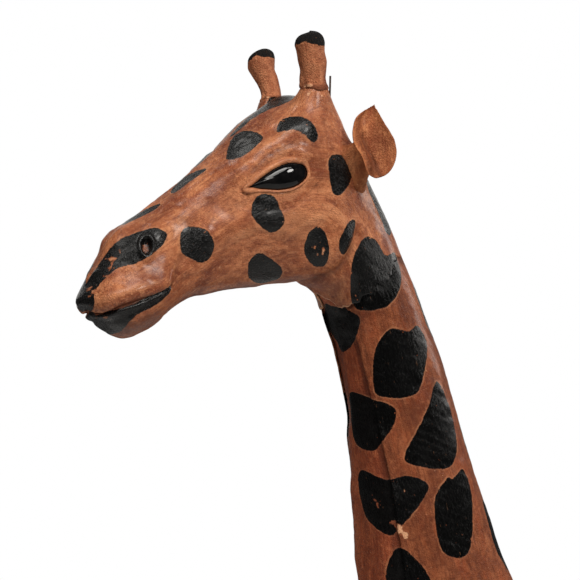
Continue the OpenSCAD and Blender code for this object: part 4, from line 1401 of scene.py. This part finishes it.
def build_hoof(rows, end, side):
    """A cloven hoof, wider on the ground than at the leg."""
    _, cx, cy, hx, hy = rows[-1]
    cy *= -side
    h = np.sort(np.concatenate([np.linspace(0, 1, HOOF_ROWS), EDGE_ROWS]))[:, None]
    s, c = np.sin(np.radians(ring_degrees(112))), np.cos(np.radians(ring_degrees(112)))
    grow = 1 - h
    round_edge = 1.4 * smoothstep(0.97, 1.0, grow)
    half_x = hx + (HOOF_DEPTH - hx) * grow ** 0.75 - round_edge
    half_y = hy + (HOOF_WIDTH - hy) * grow ** 0.75 - round_edge
    x = cx - 3.0 * grow - half_x * s * (1 + 0.05 * np.maximum(s, 0) * grow)
    y = cy + half_y * c
    z = h * HOOF_TOP
    # the split at the toe, the notch at the heel, and a dome on each claw
    slit = smoothstep(0.04, 0.22, grow)
    x = x + (7.5 * bell(c * half_y, 1.7) * (s > 0) - 2.6 * bell(c * half_y, 2.4) * (s < 0)) * slit
    x = x - 1.2 * bell(np.abs(c) - 0.45, 0.3) * (s > 0) * slit
    rings = 0.22 * np.sin(z * 1.15 + 2 * s)
    name = f"{end}_{SIDES[side]}"
    obj = grid_object("hoof_horn_" + name, stacked(x - rings * s, y + rings * c, z))
    sharpen(obj, 50)
    finish_piece(obj, HOOF_BLACK, "hoof_" + name)


# ---------------------------------------------------------------- eyes and lids

def eye_point(q, side, lift):
    """A place on the unrolled hide, lift mm above the plain surface."""
    u, theta = from_hide(q, side)
    return head_neck_points(u, theta) + head_neck_normals(u, theta) * np.asarray(lift)[..., None]


def build_eye(side):
    """A glass eye, domed in front and flat behind."""
    centre = EYE_LOOP.mean(0) + (2.0, 0.4)
    reach = np.linspace(0.0, 1.05, 26)
    reach[0] = 0.015
    q = centre + reach[:, None, None] * (EYE_LOOP - centre)[None]
    dome = -2.6 + 6.2 * np.sqrt(np.clip(1 - (reach / 1.06) ** 2, 0, 1))
    front = eye_point(q, side, dome[:, None] + np.zeros(len(EYE_LOOP)))
    back = eye_point(q[::-1], side, np.full(q.shape[:2], -5.2))
    points = np.concatenate([front, back])
    if side > 0:
        points = points[:, ::-1]
    obj = grid_object("eye_glass_" + SIDES[side], points)
    sharpen(obj, 60)
    finish_piece(obj, GLASS, "eye_" + SIDES[side])


def build_lid(side):
    """The rolled rim of leather round an eye, heaviest above it."""
    loop = closed_curve(on_hide(EYE), 22)
    out = loop - loop.mean(0)
    along = np.roll(loop, -1, 0) - np.roll(loop, 1, 0)
    across = unit(stacked(along[:, 1], -along[:, 0]))
    across *= np.sign((across * out).sum(1))[:, None]
    upper = smoothstep(-0.5, 5.5, -(out[:, 1] + 0.22 * out[:, 0]))[:, None]
    corner = bell(loop[:, :1] - loop[:, 0].min(), 5)
    width = 0.95 + 1.15 * upper - 0.45 * corner
    height = 0.9 + upper - 0.4 * corner
    ring = ring_radians(18)
    reach = 0.55 - 0.1 * upper + width * np.cos(ring)
    q = loop[:, None, :] + across[:, None, :] * reach[..., None]
    wobble = 0.16 * lattice_noise(stacked(q[..., 0], q[..., 1], ring), 3.5, 71)
    points = eye_point(q, side, 0.35 + 0.5 * upper + height * np.sin(ring) + wobble)
    if side > 0:
        points = points[:, ::-1]
    points = np.concatenate([points, points[:1]])
    # painted highlight along the top of the roll and painted shade under it
    shade_and_tone = -0.2 - 0.5 * np.sin(ring) + 0.0 * points[..., 0]
    layers = {"shade_and_tone": shade_and_tone, "hide": points, "raw": shade_and_tone * 0, "paint": shade_and_tone * 0 - 9}
    obj = grid_object("eye_rim_" + SIDES[side], points, layers, closed_ends=0)
    bm = edit(obj)
    bmesh.ops.remove_doubles(bm, verts=bm.verts, dist=0.02 * MM)
    bmesh.ops.recalc_face_normals(bm, faces=bm.faces)
    keep_edit(bm, obj)
    finish_piece(obj, HEAD_HIDE, "eyelid_" + SIDES[side])


# ---------------------------------------------------------------- ears

# Edges of the ear's leaf: height from its stalk, front edge, back edge, mm.
EAR_LEAF = np.array([(-18.8, 9.8, 13.6), (-17.4, 6.8, 17.6), (-14.4, 5.4, 21.4), (-9.4, 4.2, 24.1),
                     (-4.0, 2.0, 25.5), (0.5, -1.0, 25.5), (6.5, -3.0, 23.9), (13.0, -2.8, 20.4),
                     (20.0, -0.7, 16.4), (25.2, 4.5, 13.6), (28.2, 9.0, 12.3), (29.9, 11.4, 12.0)],
                    float)
EAR_STALK = np.array((-150.6, -48.5, 1167.6))
UP = np.array((0, 0, 1.0))


def ear_place(h, v, d):
    """Point of the left ear: h to the camera's right, v up and d towards it from its stalk."""
    h, v, d = np.broadcast_arrays(h, v, d)
    return EAR_STALK + h[..., None] * CAMERA_RIGHT + v[..., None] * UP + d[..., None] * TO_CAMERA


def ear_depth(w, v):
    """How far the leaf stands out: dished, with its front edge rolled over."""
    dish = -3.4 * (1 - (2 * w - 0.95) ** 2)
    roll = 3.6 * smoothstep(0.24, 0.0, w) * smoothstep(29, 18, v)
    fold = -1.5 * bell(w - 0.30 + 0.004 * v, 0.06) * smoothstep(16, 4, v)
    pocket = 3.2 * smoothstep(-8, -16, v) * smoothstep(0.7, 0.1, w)
    return dish + roll + fold + pocket - 0.10 * v


def ear_shell():
    """The leaf of the ear, a thin closed skin."""
    leaf = catmull(EAR_LEAF, np.linspace(0, len(EAR_LEAF) - 1, 70))
    w = np.linspace(0, 1, 56)[None, :]
    v = leaf[:, :1] + 0 * w
    h = leaf[:, 1:2] + (leaf[:, 2:3] - leaf[:, 1:2]) * w
    d = ear_depth(w, v) + 0.35 * lattice_noise(stacked(v, w * 25, v * 0), 7, 81)
    thick = 1.15 + 0.5 * smoothstep(0.2, 0.0, w)
    back = ear_place(h - 0.2 * (w - 0.5), v, d - thick * 2)
    return np.concatenate([ear_place(h, v, d), back[:, ::-1]], axis=1)


def add_ear_root(bm):
    """Adds the stalk, rows of balls from inside the head to the leaf's front edge."""
    root, _ = head_neck_surface(np.linspace(16.3, 17.9, 6), np.linspace(151, 158, 6), -4.5)
    v = np.linspace(3.0, -12.5, 6)
    h = np.interp(v, EAR_LEAF[:, 0], EAR_LEAF[:, 1]) + 2.2
    tips = ear_place(h, v, ear_depth(0.1, v) - 1.6)
    f = np.linspace(0, 1, 12)[:, None, None]
    centres = root + (tips - root) * f
    radii = 4.4 * (1 - f) ** 1.3 + 2.3 + 0 * centres
    add_balls(bm, centres.reshape(-1, 3), radii.reshape(-1, 3))


def build_ear(side):
    """Both ears are made as the left one; the right is its mirror image."""
    bm = bmesh.new()
    add_to(bm, grid_object("part", ear_shell()))
    add_ear_root(bm)
    obj = fused("ear_leather_" + SIDES[side], bm, 0.62, 5)
    co, normal = mesh_arrays(obj.data)
    rel = co - EAR_STALK
    h, v = rel @ CAMERA_RIGHT, rel[:, 2]
    relief = 0.18 * lattice_noise(co, 5, 83) + 0.10 * lattice_noise(co * (1, 1, 0.3), 1.8, 84)
    co = co + normal * relief[:, None]
    facing = normal @ TO_CAMERA
    edge = h - np.interp(v, EAR_LEAF[:, 0], EAR_LEAF[:, 1])
    crease = bell(edge - 7.2 + 0.05 * v, 1.5) * smoothstep(17, 8, v)
    pocket = bell(np.hypot(h - 9.0, v + 12.5), 4.2)
    fold_line = bell(edge - 3.5, 2.4) * 0.45 * smoothstep(26, 18, v)
    # painted shade in the crease, the pocket and along the fold where they face the camera, darker
    # at and before the leaf's front edge, and more painted shade where the ear turns edge-on to the
    # camera
    shade_and_tone = smoothstep(-0.1, 0.5, facing) * (0.9 * crease + 1.2 * pocket + fold_line)
    shade_and_tone += smoothstep(1.5, -3, edge) * 0.5 + 0.2 * lattice_noise(co, 6, 85)
    shade_and_tone += 0.9 * smoothstep(0.62, 0.2, np.abs(facing)) * (edge > 1)
    if side > 0:
        co = co * (1, -1, 1)
        obj.data.flip_normals()
    set_points(obj.data, co)
    set_layers(obj.data, {"shade_and_tone": shade_and_tone, "hide": co[:, [2, 0, 1]], "raw": 0 * shade_and_tone})
    obj.data.update()
    finish_piece(obj, EAR_HIDE, "ear_" + SIDES[side])


# ---------------------------------------------------------------- ossicones

# Height and radius of a sleeve for the left and the right ossicone.
SLEEVES = {
    -1: np.array([(3.0, 9.4), (4.6, 9.2), (6.2, 8.8), (8.5, 8.6), (11, 8.5), (15, 8.7), (20, 9.3),
                  (25, 9.2), (29, 9.3), (32.5, 9.4), (35.5, 8.5), (37.6, 6.6), (38.7, 4.0),
                  (39.1, 0.3)]),
    1: np.array([(3.0, 8.2), (4.6, 7.8), (6.2, 7.3), (8.5, 6.9), (11, 6.7), (15, 6.8), (20, 7.3),
                 (25, 8.1), (29, 9.2), (33, 9.9), (36.5, 9.3), (38.9, 7.4), (40.3, 4.5),
                 (40.9, 0.3)]),
}
# How far the shaft and the top of each bend to the right as the camera sees it, mm.
SLEEVE_BEND = {-1: (-0.7, -2.9), 1: (1.3, 0.0)}
WALL, LEAST_PEG = 2.6, 4.6      # the sleeve's thickness and the peg's least radius, mm


def horn_frame(side):
    """The axis of a horn and two directions across it, the first to the camera's right."""
    axis = horn_axis(side)
    e1 = unit(CAMERA_RIGHT - axis * (CAMERA_RIGHT @ axis))
    return axis, e1, np.cross(axis, e1)


def horn_skin(side, h, r, ring):
    """Points round a horn at heights h and radii r, with its bend."""
    axis, e1, e2 = horn_frame(side)
    low, high = SLEEVE_BEND[side]
    bend = low * smoothstep(3, 11, h) + (high - low) * smoothstep(11, 27, h)
    out = r[..., None] * (np.cos(ring)[..., None] * e1 + np.sin(ring)[..., None] * e2)
    return HORN_BASE * (1, side, 1) + bend[..., None] * e1 + out + h[..., None] * axis


def build_peg(side):
    """The wooden peg in a horn, with its shank in the head."""
    sleeve = SLEEVES[side][:-3]
    inner = np.maximum(sleeve[:, 1] - WALL, LEAST_PEG)
    profile = np.concatenate([[(-32, 0.3), (-31.4, 3.9), (-30.5, 4.5), (1.0, 4.5)],
                              stacked(sleeve[:, 0], inner), [(sleeve[-1, 0] + 1.4, 0.3)]])
    profile = catmull(profile, np.linspace(0, len(profile) - 1, 90))
    ring = ring_radians(40)
    r = np.maximum(profile[:, 1:], 0.2) + 0 * ring
    points = horn_skin(side, profile[:, :1] + 0 * ring, r, ring)[:, ::-1]
    obj = grid_object("horn_wood_" + SIDES[side], points)
    finish_piece(obj, DOWEL_WOOD, "ossicone_peg_" + SIDES[side])


def build_sleeve(side):
    """The leather round a horn, pulled together at its foot and black at its knob."""
    profile = catmull(SLEEVES[side], np.linspace(0, len(SLEEVES[side]) - 1, 120))
    ring = ring_radians(84)
    h = profile[:, :1] + 0 * ring
    r = profile[:, 1:] + 0 * ring
    towards = np.cos(ring)
    facing = np.sin(ring) * np.sign(horn_frame(side)[2] @ TO_CAMERA)
    spot = stacked(r * np.cos(ring), r * np.sin(ring), h)
    lump = 0.55 * lattice_noise(spot, 9, 90 + side) + 0.25 * lattice_noise(spot, 3.2, 92)
    # each horn bulges its own way
    if side < 0:
        lump += towards * (0.8 * bell(h - 21, 7) - 0.48 * bell(h - 9, 6))
        slant = 0.9 * np.cos(ring - 0.4)
    else:
        lump -= 0.5 * towards * bell(h - 30, 7) + 0.4 * np.abs(facing) * bell(h - 10, 7)
        slant = 0.9 * np.cos(ring + 0.2)
    # creases that run up the sleeve where its leather was pulled together
    pleat = np.sin(ring * 9 + 1.3 * lattice_noise(spot, 12, 94)) * 0.22 * smoothstep(18, 6, h)
    circle = stacked(np.cos(ring) * 9, np.sin(ring) * 9, 0.0)
    ragged, tuck = lattice_noise(circle, 2.1, 96), lattice_noise(circle, 5.5, 95)
    flare = smoothstep(7.0, 3.8, h) * (0.1 + 0.45 * ragged + 0.3 * tuck)
    r = np.maximum(r + (lump + pleat) * smoothstep(38.5, 34, h) + flare, 0.25)
    h = h + slant * smoothstep(22, 37, h) + (1.3 * ragged + 2.2 * tuck) * smoothstep(9.0, 3.5, h)
    points = horn_skin(side, h, r, ring)
    line = 30.4 + 1.4 * lattice_noise(spot, 4.5, 97) + 0.9 * lattice_noise(spot, 1.8, 98)
    line += 3.0 * bell(towards + 0.25, 0.5) * smoothstep(-0.2, 0.4, facing)
    if side > 0:
        line += 2.2
    # painted shade in the pleats and dents and painted highlight on the bulges; darker towards the
    # foot
    shade_and_tone = 0.35 * lattice_noise(spot, 8, 99) + smoothstep(8, 4, h) - 0.5 * (lump + pleat)
    pale = smoothstep(0.1, 0.6, lattice_noise(spot, 2.4, 93))
    raw = 0.8 * pale * smoothstep(8.5 + 2 * tuck, 4.5 + 2 * tuck, h)
    layers = {"paint": h - line, "shade_and_tone": shade_and_tone, "hide": stacked(h, spot[..., 0], spot[..., 1]),
              "raw": raw}
    flipped = {k: v[:, ::-1] for k, v in layers.items()}
    obj = grid_object("horn_leather_" + SIDES[side], points[:, ::-1], flipped)
    finish_piece(obj, HORN_HIDE, "ossicone_sleeve_" + SIDES[side])


# ---------------------------------------------------------------- tail

# Tail: x, z, radius, from the root down.
TAIL = np.array([(289, 670, 7.4), (297, 665, 6.4), (306, 658, 6), (313, 640, 5.6), (314.5, 600, 5),
                 (314, 540, 4.6), (312.5, 480, 4.3), (311.4, 430, 4.2), (311.2, 418, 3.2)], float)
TUFT_X, TUFT_TOP, TUFT_END = 311.2, 434.0, 306     # mm
STRANDS = 130
PLAIT_TURN = 0.21      # how fast the strips turn round the tail, radians a mm


def build_tail():
    """Three strips of leather plaited round a cord."""
    path = catmull(TAIL, np.linspace(0, len(TAIL) - 1, 260))
    along = unit(np.gradient(path[:, :2], axis=0))
    steps = np.linalg.norm(np.diff(path[:, :2], axis=0), axis=1)
    length = np.concatenate([[0], np.cumsum(steps)])[:, None]
    ring = ring_radians(40)
    wave = np.abs(np.cos(1.5 * ring - length * PLAIT_TURN)) ** 0.8
    counter = np.abs(np.cos(1.5 * ring + length * PLAIT_TURN)) ** 0.8
    plait = np.maximum(wave, counter) - 0.8
    r = path[:, 2:3] * (0.97 + 0.16 * plait * smoothstep(6, 22, length))
    s, c = np.sin(ring), np.cos(ring)
    points = stacked(path[:, :1] - r * s * along[:, 1:], r * c, path[:, 1:2] + r * s * along[:, :1])
    # painted shade between the plaited strips and painted highlight on them
    shade_and_tone = 0.9 - 4.0 * (plait + 0.12)
    layers = {"shade_and_tone": shade_and_tone, "hide": stacked(length, r * c, r * s), "raw": shade_and_tone * 0}
    obj = grid_object("tail_leather", points, layers)
    finish_piece(obj, TAIL_HIDE, "tail_cord")


def strand_points(rng, t, ring):
    """One wavy strand of hair, from t = 0 at the binding to t = 1 at its tip."""
    swell = np.interp(t, [0, 0.1, 0.3, 0.55, 0.8, 1], [0.55, 0.72, 0.95, 1.0, 0.7, 0.25])
    turn = rng.uniform(0, 2 * math.pi)
    fill = math.sqrt(rng.uniform(0.02, 1.0))
    tip = TUFT_END + rng.uniform(0, 34) * fill
    z = TUFT_TOP - 4 * fill + (tip - TUFT_TOP + 4 * fill) * t
    bend = turn + rng.uniform(-0.7, 0.7) * t
    wide = rng.uniform(0.8, 1.0) * fill * swell
    sway = rng.normal(0, 0.5, 2)
    x = TUFT_X + 8.6 * wide * np.cos(bend) + sway[0] * t ** 2
    y = 8.0 * wide * np.sin(bend) + sway[1] * t ** 2
    thick = rng.uniform(0.75, 1.15) * np.interp(t, [0, 0.2, 0.8, 1], [0.9, 1.0, 0.8, 0.15])
    return stacked(x + thick * np.cos(ring), y + thick * np.sin(ring), z)


def build_tuft():
    """The hair at the end of the tail and the binding that holds it."""
    rng = np.random.default_rng(17)
    rows, columns = 16, 5
    t = np.linspace(0, 1, rows)[:, None]
    ring = ring_radians(columns)
    points = np.array([strand_points(rng, t, ring) for _ in range(STRANDS)])
    first = np.arange(STRANDS)[:, None, None] * rows * columns
    faces = (grid_faces(rows, columns, True)[None] + first).reshape(-1, 4)
    obj = new_mesh("tail_hair", points, faces[:, ::-1])
    bm = edit(obj)
    bmesh.ops.holes_fill(bm, edges=[e for e in bm.edges if e.is_boundary], sides=8)
    h = np.linspace(0, 1, 24)[:, None]
    r = 5.6 + 0.5 * np.sin(h * math.pi) + 0.35 * np.cos(np.arange(24)[:, None] * 2.1)
    angle = ring_radians(36)
    band = stacked(TUFT_X + r * np.cos(angle), r * 0.95 * np.sin(angle), TUFT_TOP + 1.5 - h * 9)
    add_to(bm, grid_object("part", band))
    bmesh.ops.recalc_face_normals(bm, faces=bm.faces)
    keep_edit(bm, obj)
    obj.data.shade_smooth()
    finish_piece(obj, TUFT_BLACK, "tail_tuft")


# ---------------------------------------------------------------- everything together

def build_statue():
    build_head()
    build_carved("head", 0.35, 20.9, 90, 2.6)
    build_carved("neck", 18.9, 32.9, 110, 3.6)
    build_neck()
    build_strip()
    build_body()
    for side in SIDES:
        build_leg(FRONT_LEG, "front", side)
        build_leg(REAR_LEG, "rear", side)
        build_hoof(FRONT_LEG, "front", side)
        build_hoof(REAR_LEG, "rear", side)
        build_eye(side)
        build_lid(side)
        build_ear(side)
        build_sleeve(side)
        build_peg(side)
    build_tail()
    build_tuft()


def dress_frame():
    """Materials for the pieces that stay as they are in the frame."""
    replaced = ("head_core", "neck_core", "torso_core")
    for part, material in (("dowel", DOWEL_WOOD), ("core", CORE_WOOD), ("pin", STEEL)):
        for name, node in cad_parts.items():
            if part in name and name not in replaced:
                node.data.materials.clear()
                node.data.materials.append(material)


CAMERA_TURN, CAMERA_RISE = -30.0, -3.0       # degrees round from the front view, and up
CAMERA_TARGET = Vector((-0.1722, 0.0, 1.0786))
CAMERA_DISTANCE = 0.9
SENSOR, FOCAL = 36.0, 84.64                  # mm
LAMP_TINT = (1.0, 0.965, 0.92)
LAMP_TARGET = Vector((-0.17, 0, 1.08))
LAMP_DISTANCE = 1.1
FAINT, WHITE = 0.07, 1.0                     # the world's light, and as the camera sees it
# Turn and rise of each lamp, degrees; a sun's spread, degrees, and strength.
SUNS = {"key": (-18, 45, 24, 1.3), "window": (13, 25, 15, 1.7), "back": (150, 24, 60, 0.6),
        "far_glint": (-126, 61, 12, 0.35)}
# The same, then a panel's width and height, metres, and its power, watts.
PANELS = {"bar": (-27, 50, 1.2, 0.13, 4.4), "side": (-80, 32, 0.14, 0.5, 1.4),
          "edge": (84, 14, 0.3, 0.4, 3.0)}


def direction(turn, rise):
    a, e = math.radians(turn), math.radians(rise)
    return Vector((math.sin(a) * math.cos(e), -math.cos(a) * math.cos(e), math.sin(e)))


def aim(obj, turn, rise, distance, target):
    """Stands obj some way from the target and turns it to face the target."""
    obj.location = target + direction(turn, rise) * distance
    obj.rotation_euler = (obj.location - target).to_track_quat("Z", "Y").to_euler()


def add_camera():
    data = bpy.data.cameras.new("camera")
    data.lens = FOCAL
    data.sensor_width = SENSOR
    data.clip_start = 0.02
    obj = link_object("camera", data)
    aim(obj, CAMERA_TURN, CAMERA_RISE, CAMERA_DISTANCE, CAMERA_TARGET)
    bpy.context.scene.camera = obj


def add_lamps():
    for name, (turn, rise, spread, strength) in SUNS.items():
        data = bpy.data.lights.new(name, "SUN")
        data.angle = math.radians(spread)
        data.energy = strength
        data.color = LAMP_TINT
        aim(link_object(name, data), turn, rise, 3, Vector((0, 0, 0)))
    for name, (turn, rise, width, height, watts) in PANELS.items():
        data = bpy.data.lights.new(name, "AREA")
        data.shape = "RECTANGLE"
        data.size = width
        data.size_y = height
        data.energy = watts
        data.color = LAMP_TINT
        aim(link_object(name, data), turn, rise, LAMP_DISTANCE, LAMP_TARGET)


def add_world():
    """White where the camera sees it and faint as a light."""
    world = bpy.data.worlds.new("studio")
    world.use_nodes = True
    tree = world.node_tree
    tree.nodes.clear()
    blend = tree.nodes.new("ShaderNodeMixShader")
    rays = tree.nodes.new("ShaderNodeLightPath")
    tree.links.new(rays.outputs["Is Camera Ray"], blend.inputs[0])
    for place, strength in ((1, FAINT), (2, WHITE)):
        light = tree.nodes.new("ShaderNodeBackground")
        light.inputs["Color"].default_value = (1, 1, 1, 1)
        light.inputs["Strength"].default_value = strength
        tree.links.new(light.outputs[0], blend.inputs[place])
    out = tree.nodes.new("ShaderNodeOutputWorld")
    tree.links.new(blend.outputs[0], out.inputs[0])
    bpy.context.scene.world = world


def add_floor():
    bm = bmesh.new()
    bmesh.ops.create_grid(bm, x_segments=2, y_segments=2, size=1.5)
    floor = object_from(bm, "floor")
    m = Surface("floor_paper", Specular_IOR_Level=0.2)
    grain = m.noise(m.place, 60.0, 3.0, 0.5)
    m.set("Base Color", m.mix(grain, linear(240, 240, 239), linear(236, 236, 235)))
    m.set("Roughness", m.step(grain, 0.3, 0.7, 0.7, 0.8))
    floor.data.materials.append(m.material)


view = bpy.context.scene.view_settings
view.view_transform = "Standard"
view.look = "None"
add_camera()
add_world()
add_floor()
add_lamps()
build_statue()
dress_frame()
